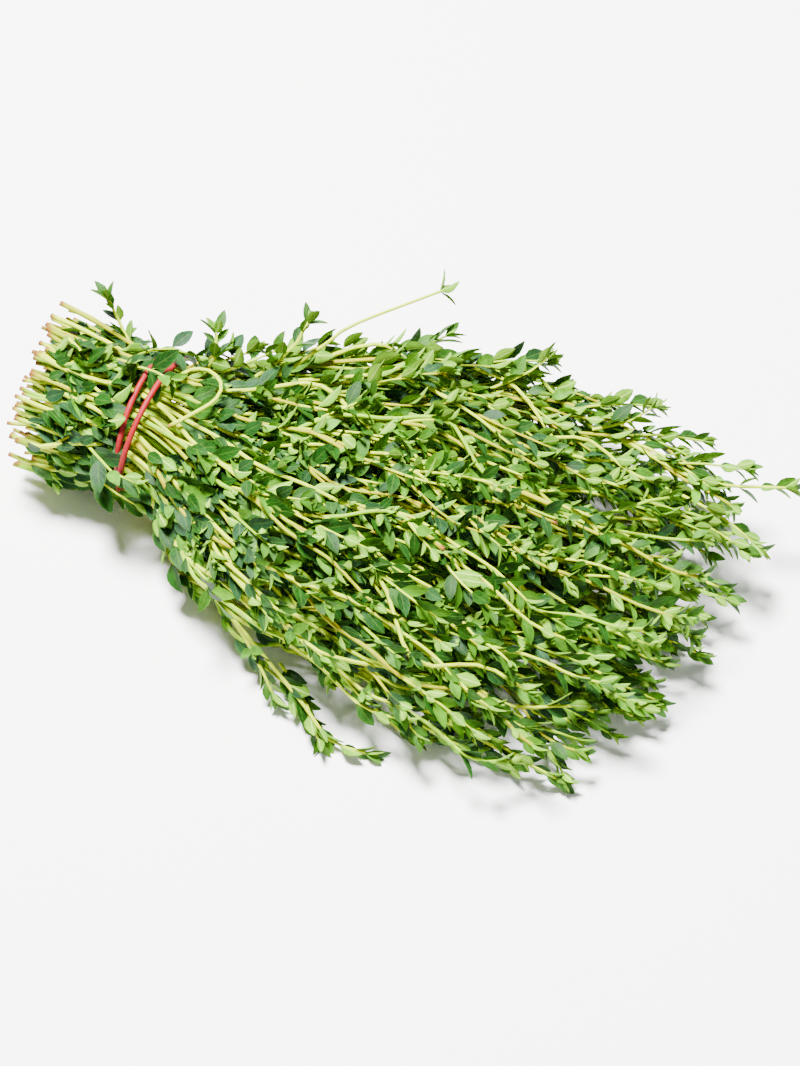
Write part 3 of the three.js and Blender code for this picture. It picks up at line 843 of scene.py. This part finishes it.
def addYoungPairs(leaves, line, item, kind, tint, scale=1.0):
    for k, pair in enumerate(youngPairs):
        place = line["distance"][-1] - pair["back"]
        if place < youngPairPlan["clearOfStart"]:
            break
        half = np.arange(2)
        seed = item * 17 + 2 * k + half
        azimuth = 45 + 90 * k + 180 * half + youngPairPlan["turned"] * (draw(seed, kind + 1) - 0.5)
        length = scale * pair["length"] * pick(youngPairPlan["uneven"], seed, kind)
        leaves.add(frameOn(line, place), azimuth, pick(pair["lean"], seed, kind + 2),
                   (length, length * youngPairPlan["widthShare"]), youngPairPlan["bend"],
                   (tint, pair["age"] / scale ** 2, draw(seed, kind + 3)), youngPairPlan["start"],
                   pick(youngPairPlan["facing"], seed, kind + 4), draw(seed, kind + 5))


def addAxilTuft(leaves, here, azimuth, size, item, kind, tint):
    a, b = math.radians(azimuth), math.radians(axilPlan["out"])
    away = math.cos(a) * here["outward"] + math.sin(a) * here["across"]
    along = unit(math.cos(b) * here["along"] + math.sin(b) * away)
    outward = unit(away - (away @ along) * along)
    axil = {"at": here["at"] + along * (axilPlan["stalk"] + size * axilPlan["stalkShare"]), "along": along,
            "outward": outward, "across": np.cross(along, outward)}
    i = np.arange(axilPlan["leaves"])
    length = size * pick(axilPlan["uneven"], item * 11 + i, kind)
    leaves.add(axil, i * 360 / axilPlan["leaves"] + 90 * draw(item, kind + 1),
               pick(axilPlan["lean"], item * 11 + i, kind + 2),
               (length, length * axilPlan["widthShare"]), axilPlan["bend"],
               (tint, pick(axilPlan["age"], item * 3 + i, kind + 3), draw(item * 7 + i, kind + 4)),
               facing=pick(axilPlan["facing"], item * 7 + i, kind + 5),
               face=draw(item * 5 + i, kind + 6) * bladePlan["topShown"] / axilPlan["topShown"])


# grown leaves in crossed pairs, with tufts in their axils; gives the joints they stand on
def addPairs(leaves, sprig, line, start, stop, kind, tint, plan, leafScale=1.0):
    joints = []
    count = int((stop - start) // leafPlan["pitch"])
    for k in range(count):
        place = start + (k + 0.5 * draw(sprig["item"], kind)) * leafPlan["pitch"]
        here = frameOn(line, place)
        joints.append(place)
        x = here["at"][0]
        if abs(x) < plan["clearOfBand"] or stemsShowAt(here["at"]):
            continue
        share = k / max(count, 1)
        half = np.arange(2)
        item = sprig["item"] * 40 + k * 2 + half
        azimuth = 45 + 90 * k + 180 * half + leafPlan["turned"] * (draw(item, kind + 1) - 0.5)
        azimuth = azimuth + leafPlan["aside"] * np.sin(np.radians(2 * azimuth))
        length = leafPlan["length"] * (1 + leafPlan["spread"] * (2 * draw(item, kind + 3) - 1))
        length = length * leafScale * between(*leafPlan["towardsTip"], share)
        slim = between(*leafPlan["slimmer"], share) + leafPlan["widthSpread"] * draw(item, kind + 6)
        lean = pick(leafPlan["lean"], item, kind + 4)
        if leafPlan["overBandFrom"] < x < 0:
            lean = np.maximum(lean, leafPlan["overBand"])
        inward = np.cos(np.radians(azimuth)) < -0.3
        kept = draw(item, kind + 5) >= np.where(inward, plan["dropInward"], plan["drop"])
        if kept.any():
            one = item[kept]
            long = length[kept]
            wide = long * leafPlan["widthShare"] * slim[kept]
            fold = pick(leafPlan["fold"], one, kind + 7)
            arch = pick(leafPlan["arch"], one, kind + 8)
            turn = pick(leafPlan["turn"], one, kind + 9)
            ownTint = tint + leafPlan["tintSpread"] * (draw(one, kind + 10) - 0.5)
            leaves["big"].add(here, azimuth[kept], lean[kept], (long, wide), (fold, arch, turn),
                              (ownTint, leafPlan["tipAge"] * share ** 2, draw(one, kind + 11)),
                              leafPlan["start"], pick(leafPlan["facing"], one, kind + 16),
                              draw(one, kind + 17))
        for h in np.flatnonzero(kept):
            if draw(item[h], kind + 12) < plan["tuftShare"]:
                larger = between(*axilPlan["towardsTip"], ease(x / axilPlan["towardsTipOver"]))
                size = pick(axilPlan["length"], item[h], kind + 13) * larger
                addAxilTuft(leaves["small"], here, azimuth[h], size, item[h], kind + 14, tint)
    return joints


def stemsShowAt(place):
    alongShows = neckPlan["bareAlong"][0] < place[0] < neckPlan["bareAlong"][1]
    acrossShows = neckPlan["bareAcross"][0] < place[1] < neckPlan["bareAcross"][1]
    return alongShows and acrossShows and place[2] > neckPlan["bareAbove"]


def addNeckLeaves(leaves, sprig, line, tint):
    for number in range(neckPlan["count"]):
        item = sprig["item"] * 13 + number
        share = (number + draw(item, 150)) / neckPlan["count"]
        here = frameOn(line, between(neckPlan["from"], neckPlan["to"], share))
        if abs(here["at"][0]) < neckPlan["clearOfBand"] or stemsShowAt(here["at"]):
            continue
        length = pick(neckPlan["length"], item, 151)
        azimuth = np.array([neckPlan["azimuth"] * (2 * draw(item, 152) - 1)])
        bend = [pick(neckPlan[name], item, kind)
                for name, kind in (("fold", 154), ("arch", 155), ("turn", 156))]
        leaves.add(here, azimuth, pick(neckPlan["lean"], item, 153),
                   (length, length * neckPlan["widthShare"]), bend,
                   (tint, 0.0, neckPlan["dark"] * draw(item, 157)), neckPlan["start"],
                   pick(neckPlan["facing"], item, 158),
                   draw(item, 159) * bladePlan["topShown"] / neckPlan["topShown"])


def sideShootLine(sprig, line, number):     # a short shoot from a joint, bending back along the stem
    item = sprig["item"] * 9 + number
    total = line["distance"][-1]
    first = shootPlan["first"] - sprig["butt"]
    share = ((abs(number) + draw(item, 130)) / sprig["shootCount"]) ** shootPlan["crowded"]
    start = between(first, total - shootPlan["shortOfTip"], share)
    if number < 0:                          # one among the cut ends
        start = pick(shootPlan["buttStarts"], item, 130)
    here = frameOn(line, start)
    way = 1 if draw(item, 135) < 0.5 else -1
    spread = math.radians(way * pick(shootPlan["azimuth"], item, 131))
    away = math.cos(spread) * here["outward"] + math.sin(spread) * here["across"]
    length = pick(shootPlan["length" if number >= 0 else "buttLength"], item, 132)
    opened = between(shootPlan["neckLean"], 1.0, ease((here["at"][0] - shootPlan["opensFrom"])
                                                      / shootPlan["opensOver"]))
    opened = opened * standsOut(here["outward"])
    slope = math.tan(math.radians(pick(shootPlan["lean"], item, 133) * opened))
    t = np.linspace(0, 1, 8)[:, None]
    bend = shootPlan["bend"] * (draw(item, 134) - 0.5) * length
    beside = np.cross(here["along"], away)
    rise = t - shootPlan["straightens"] * t ** 2
    points = here["at"] + here["along"] * length * t + away * length * slope * rise
    points = points + beside * bend * t ** 2
    points[:, 2] = np.maximum(points[:, 2], shootPlan["aboveSurface"])
    return makeLine(points, chordDistances(points)), item


def growShoot(piece, leaves, line, seed, tint):             # a leafy shoot: stem, young tip, grown pairs
    length = line["distance"][-1]
    addStem(piece, line, shootPlan["thick"], shootPlan["thin"], [], tint, 0.0, cutStart=False,
            sides=shootPlan["sides"])
    scale = between(shootPlan["neckLeaves"], 1.0, ease(line["points"][0][0] / shootPlan["neckLeavesOver"]))
    addYoungPairs(leaves["small" if scale < shootPlan["largeFrom"] else "big"], line, seed, 110, tint, scale)
    addTuft(leaves["small"], seed, line, youngPlan["onBranch"], 120, tint)
    half = np.arange(2)
    for k, back in enumerate(shootPlan["grownPairsBack"]):
        if back > length - 2:
            break
        pair = seed * 3 + half + 31 * k
        azimuth = 90 * k + 30 + 180 * half + 60 * draw(seed + k, 126)
        long = pick(shootPlan["grownLength"], pair, 125)
        leaves["big"].add(frameOn(line, length - back), azimuth,
                          pick(shootPlan["grownLean"], pair, 127),
                          (long, long * leafPlan["widthShare"]), shootPlan["grownBend"],
                          (tint, shootPlan["grownAge"], draw(pair, 128)), shootPlan["grownStart"],
                          pick(shootPlan["grownFacing"], pair, 129), draw(pair, 136))


def growSprig(piece, sprig, plan):          # one sprig with its branch, tufts, side and loose shoots
    leaves = {"big": LeafList(), "small": LeafList()}
    small = leaves["small"]
    item = sprig["item"]
    tint = draw(item, 70)
    line = sprig["line"]
    firstPair = leafPlan["bareButt"] + sprig.get("firstPair", 0.0)
    lastPair = line["distance"][-1] - leafPlan["bareTip"]
    joints = addPairs(leaves, sprig, line, firstPair, lastPair, 40, tint, plan)
    addStem(piece, line, plan["butt"], plan["tip"], joints, draw(item, 71), draw(item, 72) * 0.9)
    addYoungPairs(small, line, item, 90, tint)
    addTuft(small, item, line, youngPlan["onStem"], 20, tint)
    if plan["branch"]:
        start = pick(branchPlan["first"], item, 7)
        end = min(start + pick(branchPlan["length"], item, 8), sprig["tip"] + branchPlan["past"])
        side = -1 if draw(item, 9) < 0.5 else 1
        swing = side * branchPlan["aside"] / max(sprig["rho"], 0.4)
        twig = branchLine(sprig, start, end, branchPlan["out"], swing)
        lastPair = twig["distance"][-1] - leafPlan["bareTwigTip"]
        twigJoints = addPairs(leaves, sprig, twig, leafPlan["bareBranch"], lastPair, 50, tint, plan,
                              branchPlan["leafScale"])
        addStem(piece, twig, branchPlan["thick"], branchPlan["thin"], twigJoints, draw(item, 71), 0.0,
                cutStart=False, spacing=branchPlan["spacing"])
        addYoungPairs(small, twig, item, 100, tint)
        addTuft(small, item, twig, youngPlan["onBranch"], 30, tint)
    if sprig["rho"] > 0.7:
        addNeckLeaves(leaves["big"], sprig, line, tint)
    sprig["shootCount"] = plan["shoots"]
    hasButtShoot = sprig.get("untidy") and draw(item, 13) < plan["buttShoots"]
    for number in range(-1 if hasButtShoot else 0, plan["shoots"]):
        shoot, seed = sideShootLine(sprig, line, number)
        if standsOut(frameOn(shoot, 0)["outward"]) > shootPlan["least"]:
            growShoot(piece, leaves, shoot, seed, tint)
    for index, shoot in enumerate(sprig.get("shoots", [])):
        loose = shoot["line"]
        length = loose["distance"][-1]
        leafy = min(shoot["leaves"] / 2 * leafPlan["pitch"], length - 1)
        looseJoints = addPairs(leaves, sprig, loose, length - leafy, length, 65 + 10 * index, tint, plan,
                               loosePlan["leafScale"])
        addStem(piece, loose, loosePlan["thick"], loosePlan["thin"], looseJoints, loosePlan["tint"],
                shoot["wood"], cutStart=False)
        if shoot["leaves"] > 2:
            addYoungPairs(small, loose, item + 7 * index, 140, tint)
        addTuft(small, item, loose, youngPlan["onBranch"] + 1, 60 + 10 * index, tint, loosePlan["tuftScale"])
    leaves["big"].fill(piece, grownBlade if plan["fine"] else plainBlade)
    small.fill(piece, plainBlade)


rings = [
    {"name": "outer", "count": 20, "rho": 1.0, "twist": 12.0, "first": 9.0, "shorter": 44.0},
    {"name": "middle", "count": 13, "rho": 0.68, "twist": -16.0, "first": 0.0, "shorter": 36.0},
    {"name": "inner", "count": 7, "rho": 0.36, "twist": 18.0, "first": 10.0, "shorter": 26.0},
    {"name": "heart", "count": 1, "rho": 0.0, "twist": 0.0, "first": 0.0, "shorter": 0.0},
]

looseShoots = [                             # shoots that stand out of the bunch, as in the frame
    {"from": 26, "route": [[38, 31, 44], [43, 38, 47], [60, 58, 48]], "leaves": 2, "wood": 0.7},
    {"from": 20, "route": [[29, 27, 41], [31, 34, 46]], "leaves": 4, "wood": 0.0},
    {"from": 8, "route": [[11, 17, 40], [9.5, 21, 45]], "leaves": 3, "wood": 0.0},
    {"from": -14, "route": [[-20, 19, 37], [-23, 20, 43]], "leaves": 3, "wood": 0.0},
    {"from": 30, "route": [[50, -45, 10], [62, -54, 5]], "leaves": 5, "wood": 0.0},
    {"from": 40, "route": [[70, -54, 7], [82, -60, 3], [92, -59, 2]], "leaves": 5, "wood": 0.0},
    {"from": 62, "route": [[88, -47, 6], [101, -50, 3], [113, -46, 2.5]], "leaves": 5, "wood": 0.0},
    {"from": 100, "route": [[126, -46, 7], [141, -46, 4]], "leaves": 5, "wood": 0.0},
    {"from": 118, "route": [[144, 44, 26], [166, 50, 28]], "leaves": 6, "wood": 0.0},
]


def giveEnds(sprig, shorter, uneven):       # how far a sprig runs to both sides of the band
    def acrossAt(x):
        return seatAt(x, sprig["rho"], sprig["phi"], sprig["twist"])[1]

    sprig["tip"] = reachAt(acrossAt(bunchForm["tipAt"])) - shorter
    sprig["butt"] = bunchForm["buttAt"] - bunchForm["buttSlant"] * acrossAt(bunchForm["buttAt"]) - uneven
    sprig["line"] = mainLine(sprig)


def layOutSprigs():
    sprigs = []
    for ring in rings:
        for i in range(ring["count"]):
            item = len(sprigs) + 1
            phi = ring["first"] + i * 360 / ring["count"]
            name = f"sprig_{ring['name']}_{i + 1:02d}" if ring["count"] > 1 else f"sprig_{ring['name']}"
            sprig = {"node": name, "item": item, "rho": ring["rho"], "phi": phi, "twist": ring["twist"]}
            sprig["shoots"] = []
            giveEnds(sprig, ring["shorter"] * draw(item, 5) ** 1.6, bunchForm["buttUneven"] * draw(item, 6))
            sprigs.append(sprig)
    for shoot in looseShoots:
        outer = [s for s in sprigs if s["rho"] == 1 and s["tip"] > shoot["from"]]
        first = np.array(shoot["route"][0], float)
        host = min(outer, key=lambda s: np.linalg.norm(stemPoints(s, shoot["from"]) - first))
        route = [stemPoints(host, shoot["from"])] + [np.array(p, float) for p in shoot["route"]]
        host["shoots"].append({**shoot, "line": smoothRoute(route)})
    return sprigs


sprigPlan = {"butt": 1.4, "tip": 0.95, "branch": True, "shoots": 4, "tuftShare": 0.5, "drop": 0.0,
             "dropInward": 0.4, "fine": True, "clearOfBand": 8.0, "buttShoots": 0.0}
triangles = 0
for sprig in layOutSprigs():
    gathered = PieceMesh()
    growSprig(gathered, sprig, sprigPlan)
    name = "fine" + "".join(part.capitalize() for part in sprig["node"].split("_"))
    piece = gathered.finish(name, sprigMaterials)
    triangles += len(piece.data.polygons)
    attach(piece, "root")
    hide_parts(sprig["node"])
print("sprigs grown, triangles", triangles)


# Thinner sprigs fill the bunch between the others. They are joined in groups.
fillPlan = {
    "near": 78,                 # close to the outside, where they are seen
    "deep": 44,
    "over": 24,                 # with few leaves, over the others
    "groups": 12,
    "loose": 1.7,
    "wander": 16.0,             # degrees over 100 mm, so that stems cross
    "topWander": 34.0,
    "topLoose": 2.4,
    "shorter": 100.0,
    "behindTips": 7.0,          # the longest still end short of the bunch's own furthest tips
    "buttUneven": (-0.5, 5.0),
    "nearRho": (0.72, 0.97),
    "deepRho": 0.76,
    "topRho": (0.99, 1.03),
    "firstPair": (-5.0, 7.0),
    "firstItem": 200,           # so that their draws are their own
    "turn": 137.508,            # degrees from one to the next
    "outside": {"butt": 1.15, "tip": 0.8, "branch": False, "shoots": 4, "tuftShare": 0.4, "drop": 0.0,
                "dropInward": 0.75, "fine": True, "clearOfBand": 6.6, "buttShoots": 0.6},
    "inside": {"butt": 1.3, "tip": 0.9, "branch": False, "shoots": 2, "tuftShare": 0.1, "drop": 0.3,
               "dropInward": 0.3, "fine": False, "clearOfBand": 8.0, "buttShoots": 0.0},
    "topmost": {"butt": 1.5, "tip": 1.0, "branch": False, "shoots": 2, "tuftShare": 0.35, "drop": 0.45,
                "dropInward": 0.8, "fine": True, "clearOfBand": 6.6, "buttShoots": 0.3},
}


def layOutFill(plan):
    fill = []
    for i in range(plan["near"] + plan["deep"] + plan["over"]):
        item = plan["firstItem"] + i
        rho, kind, wander = pick(plan["nearRho"], item, 3), "outside", plan["wander"]
        if i >= plan["near"]:
            rho, kind = plan["deepRho"] * math.sqrt((i - plan["near"] + 0.6) / plan["deep"]), "inside"
        if i >= plan["near"] + plan["deep"]:
            rho, kind = pick(plan["topRho"], item, 3), "topmost"
            wander = plan["topWander"]
        phi = (i * plan["turn"]) % 360
        nearest = min(rings, key=lambda ring: abs(ring["rho"] - rho))
        twist = nearest["twist"] + wander * (2 * draw(item, 4) - 1)
        sprig = {"item": item, "rho": rho, "phi": phi, "twist": twist, "loose": plan["loose"],
                 "firstPair": pick(plan["firstPair"], item, 10), "untidy": 1.0}
        if kind == "topmost":
            sprig["loose"] = plan["topLoose"]
        giveEnds(sprig, plan["behindTips"] + plan["shorter"] * draw(item, 5) ** 1.5 * rho,
                 pick(plan["buttUneven"], item, 6))
        sprig["plan"] = plan[kind]
        fill.append(sprig)
    return fill


groups = [PieceMesh() for unused in range(fillPlan["groups"])]
for sprig in layOutFill(fillPlan):
    growSprig(groups[int(sprig["phi"] // (360 / len(groups)))], sprig, sprig["plan"])

strayShoots = [                             # tips that stand out of the fan's edge
    [[60, 40, 34], [72, 47, 34.5], [81, 51, 33]],
    [[62, 42, 30], [78, 54, 31], [91, 61, 30]],
    [[98, 48, 26], [112, 57, 27], [123, 62, 26]],
    [[112, 47, 24], [127, 54, 25], [139, 58, 24]],
    [[128, 46, 22], [142, 51, 24], [153, 54, 24]],
    [[135, 30, 16], [150, 34, 17], [164, 36, 16]],
    [[124, 26, 20], [140, 31, 21], [155, 33, 18]],
    [[132, 15, 13], [148, 18, 14], [162, 19, 14]],
    [[128, 4, 13], [143, 7, 13], [157, 6, 11]],
    [[128, -14, 8], [143, -15, 9], [156, -15, 8]],
    [[122, -26, 8], [135, -28, 9], [149, -29, 7]],
    [[100, -38, 6], [115, -45, 6], [128, -48, 4]],
    [[125, -20, 10], [140, -21, 11], [154, -20, 10]],
    [[118, -34, 8], [130, -36, 9], [142, -35, 8]],
    [[135, -2, 13], [148, 0, 14], [161, 1, 12]],
    [[138, 32, 25], [151, 31.5, 25], [161, 30, 23]],
    [[141, 38, 25], [153, 36, 25], [163, 34, 22]],
    [[111, 46, 28], [120, 52, 30], [123.5, 57.5, 31]],
    [[81, 45, 31], [88.5, 54, 32], [91.5, 60, 33]],
    [[134, -6, 12], [146, -6.5, 12.5], [154, -5, 11]],
    [[136, -17, 9], [147, -18, 9.5], [155, -17, 8]],
    [[133, -21, 8], [144, -22, 8.5], [152.5, -21.5, 7]],
    [[123, -32, 6], [134, -38.5, 6.5], [142, -44, 5]],
    [[60, -45, 5], [71, -52.5, 5], [79, -61, 3]],
    [[54, -47, 5], [66, -51, 5], [75, -57, 3]],
    [[6, 14, 34], [12.9, 19, 37], [19.3, 25.1, 38]],
    [[12, 16, 34], [18.4, 20.1, 37], [24, 27.3, 37.5]],
    [[3, 12, 35], [8.5, 16.5, 38], [12.2, 22.1, 38]],
    [[-12, 4, 38], [-6, 3, 42.5], [0, 2, 45.2], [6, 1, 45.5]],      # four across the band
    [[-10, 11, 36], [-4, 11.5, 41.5], [1, 12.5, 43], [7, 13.5, 42]],
    [[-12, -17, 29], [-6, -20.5, 30], [0, -23.4, 30], [6, -23.6, 29.5]],
    [[-14, -16, 21], [-7, -21, 21.5], [0, -23.6, 21], [6, -24, 20]],
]
bareStems = [                               # cut or bent stems without leaves; the first point is a cut
    {"thick": 1.7, "tint": 0.9,
     "route": [[-37, 17, 38], [-30.5, 16.5, 37.5], [-21, 16, 35.5], [-9, 14.5, 33]]},
    {"thick": 1.5, "tint": 0.3,
     "route": [[-38, 13, 36.5], [-30, 12.5, 36.5], [-20.5, 12, 35.5], [-9, 11, 34.5]]},
    {"thick": 1.4, "tint": 0.1,
     "route": [[-35.5, 18.5, 34], [-29, 18.5, 34.5], [-20, 17, 33], [-9, 15.5, 31]]},
    {"thick": 1.2, "tint": 0.3,
     "route": [[-34.8, 0.5, 36.5], [-26.2, -2.3, 37.4], [-17, -3.6, 36.6], [-8, -5.5, 33]]},
    {"thick": 1.2, "tint": 1.0,
     "route": [[-20.8, -21.1, 26.4], [-18, -18.9, 29], [-13.8, -16.3, 30.6], [-7.5, -14.9, 28]]},
    {"thick": 1.1, "tint": 0.1,
     "route": [[-31.5, 8.6, 36.6], [-22.4, 3.6, 38.4], [-13.9, 0.3, 38.2], [-6, -2, 35]]},
    {"thick": 1.6, "tint": 1.0, "route": [[114.6, 11, 38.5], [101, 12.5, 37], [89, 12, 34], [74, 11, 31]]},
    {"thick": 1.4, "tint": 1.0, "route": [[117, 7, 37.5], [105, 8.5, 36], [96, 8.5, 33], [80, 8, 30]]},
    {"thick": 1.5, "tint": 1.0, "route": [[94, -14.3, 39], [87.5, -11.5, 38], [80, -8, 35], [68, -5, 32]]},
    {"thick": 1.2, "tint": 0.2, "route": [[10, -9, 39], [15, -4, 41.5], [18.7, 1.8, 42.6], [18.3, 6.7, 43.6],
                                          [13.2, 9.2, 44], [8, 7.4, 43.3], [5.6, 3.5, 41.2], [6.5, 2, 37]]},
]
addedPlan = {"firstItem": 700, "taper": 0.9, "spacing": 2.5}
for number, route in enumerate(strayShoots):
    group = groups[number % len(groups)]
    item = addedPlan["firstItem"] + number
    strayLeaves = {"big": LeafList(), "small": LeafList()}
    growShoot(group, strayLeaves, smoothRoute(route), item, draw(item, 70))
    strayLeaves["big"].fill(group, grownBlade)
    strayLeaves["small"].fill(group, plainBlade)
for number, stem in enumerate(bareStems):
    addStem(groups[number % len(groups)], smoothRoute(stem["route"]), stem["thick"],
            stem["thick"] * addedPlan["taper"], [], stem["tint"], 0.0, spacing=addedPlan["spacing"])
for number, gathered in enumerate(groups):
    piece = gathered.finish(f"fillSprigs{number + 1:02d}", sprigMaterials)
    triangles += len(piece.data.polygons)
    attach(piece, "root")
print("fill grown, triangles", triangles)


def makeBand(plan):
    turn = np.linspace(0, 2 * math.pi, plan["steps"], endpoint=False)
    middle = bandPoints(turn)
    along = unit(bandPoints(turn + 0.01) - middle)
    out = middle - np.array([0, 0, float(middleHeightAt(0.0))])
    out[:, 0] = 0
    out = unit(out - (out * along).sum(1, keepdims=True) * along)
    beside = np.cross(out, along)
    corner = np.arange(plan["sides"]) * 2 * math.pi / plan["sides"]
    worn = plan["uneven"] * np.sin(turn * plan["wavesAlong"])[:, None] * np.sin(corner * 2)[None]
    radius = plan["strand"] / 2 * (1 + worn)
    points = tubePoints(middle, radius, corner, out, beside)
    faces = tubeFaces(plan["steps"], plan["sides"], closed=True)
    gathered = PieceMesh()
    blank = np.zeros((plan["steps"] * plan["sides"], 3))
    gathered.add(points.reshape(-1, 3), np.array(faces), 0, blank, blank)
    return gathered.finish("rubberBand", [rubber])


rubberBand = makeBand(bandPlan)
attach(rubberBand, "root")
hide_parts("tie_band")
print("band made")


studioPlan = {
    "floor": "#F4F4F2",
    "floorSize": 4.0,
    "key": {"at": (-0.3, 0.15, 1.25), "size": 0.42, "watts": 148.0},
    "fill": {"at": (0.9, -0.6, 0.9), "size": 1.0, "watts": 6.0},
    "skyStrength": 0.16,
}


def makeStudio(plan):
    half = plan["floorSize"] / 2
    mesh = bpy.data.meshes.new("paleFloor")
    corners = [(-half, -half, 0), (half, -half, 0), (half, half, 0), (-half, half, 0)]
    mesh.from_pydata(corners, [], [(0, 1, 2, 3)])
    floor = bpy.data.objects.new("paleFloor", mesh)
    bpy.context.scene.collection.objects.link(floor)
    material, tree = startMaterial("matPaperFloor")
    shader = addNode(tree, "BsdfPrincipled", {}, {"Base Color": hexToLinear(plan["floor"]), "Roughness": 0.9})
    addNode(tree, "OutputMaterial", {}, {"Surface": shader})
    mesh.materials.append(material)
    for name in ("key", "fill"):
        light = plan[name]
        data = bpy.data.lights.new(name + "Light", "AREA")
        data.shape = "DISK"
        data.size = light["size"]
        data.energy = light["watts"]
        lamp = bpy.data.objects.new(name + "Light", data)
        lamp.location = light["at"]
        lamp.rotation_mode = "QUATERNION"
        lamp.rotation_quaternion = (-Vector(light["at"])).to_track_quat("-Z", "Y")
        bpy.context.scene.collection.objects.link(lamp)
    world = bpy.data.worlds.new("softSky")
    world.use_nodes = True
    world.node_tree.nodes["Background"].inputs[0].default_value = (1, 1, 1, 1)
    world.node_tree.nodes["Background"].inputs[1].default_value = plan["skyStrength"]
    bpy.context.scene.world = world


makeStudio(studioPlan)
print("studio lit")
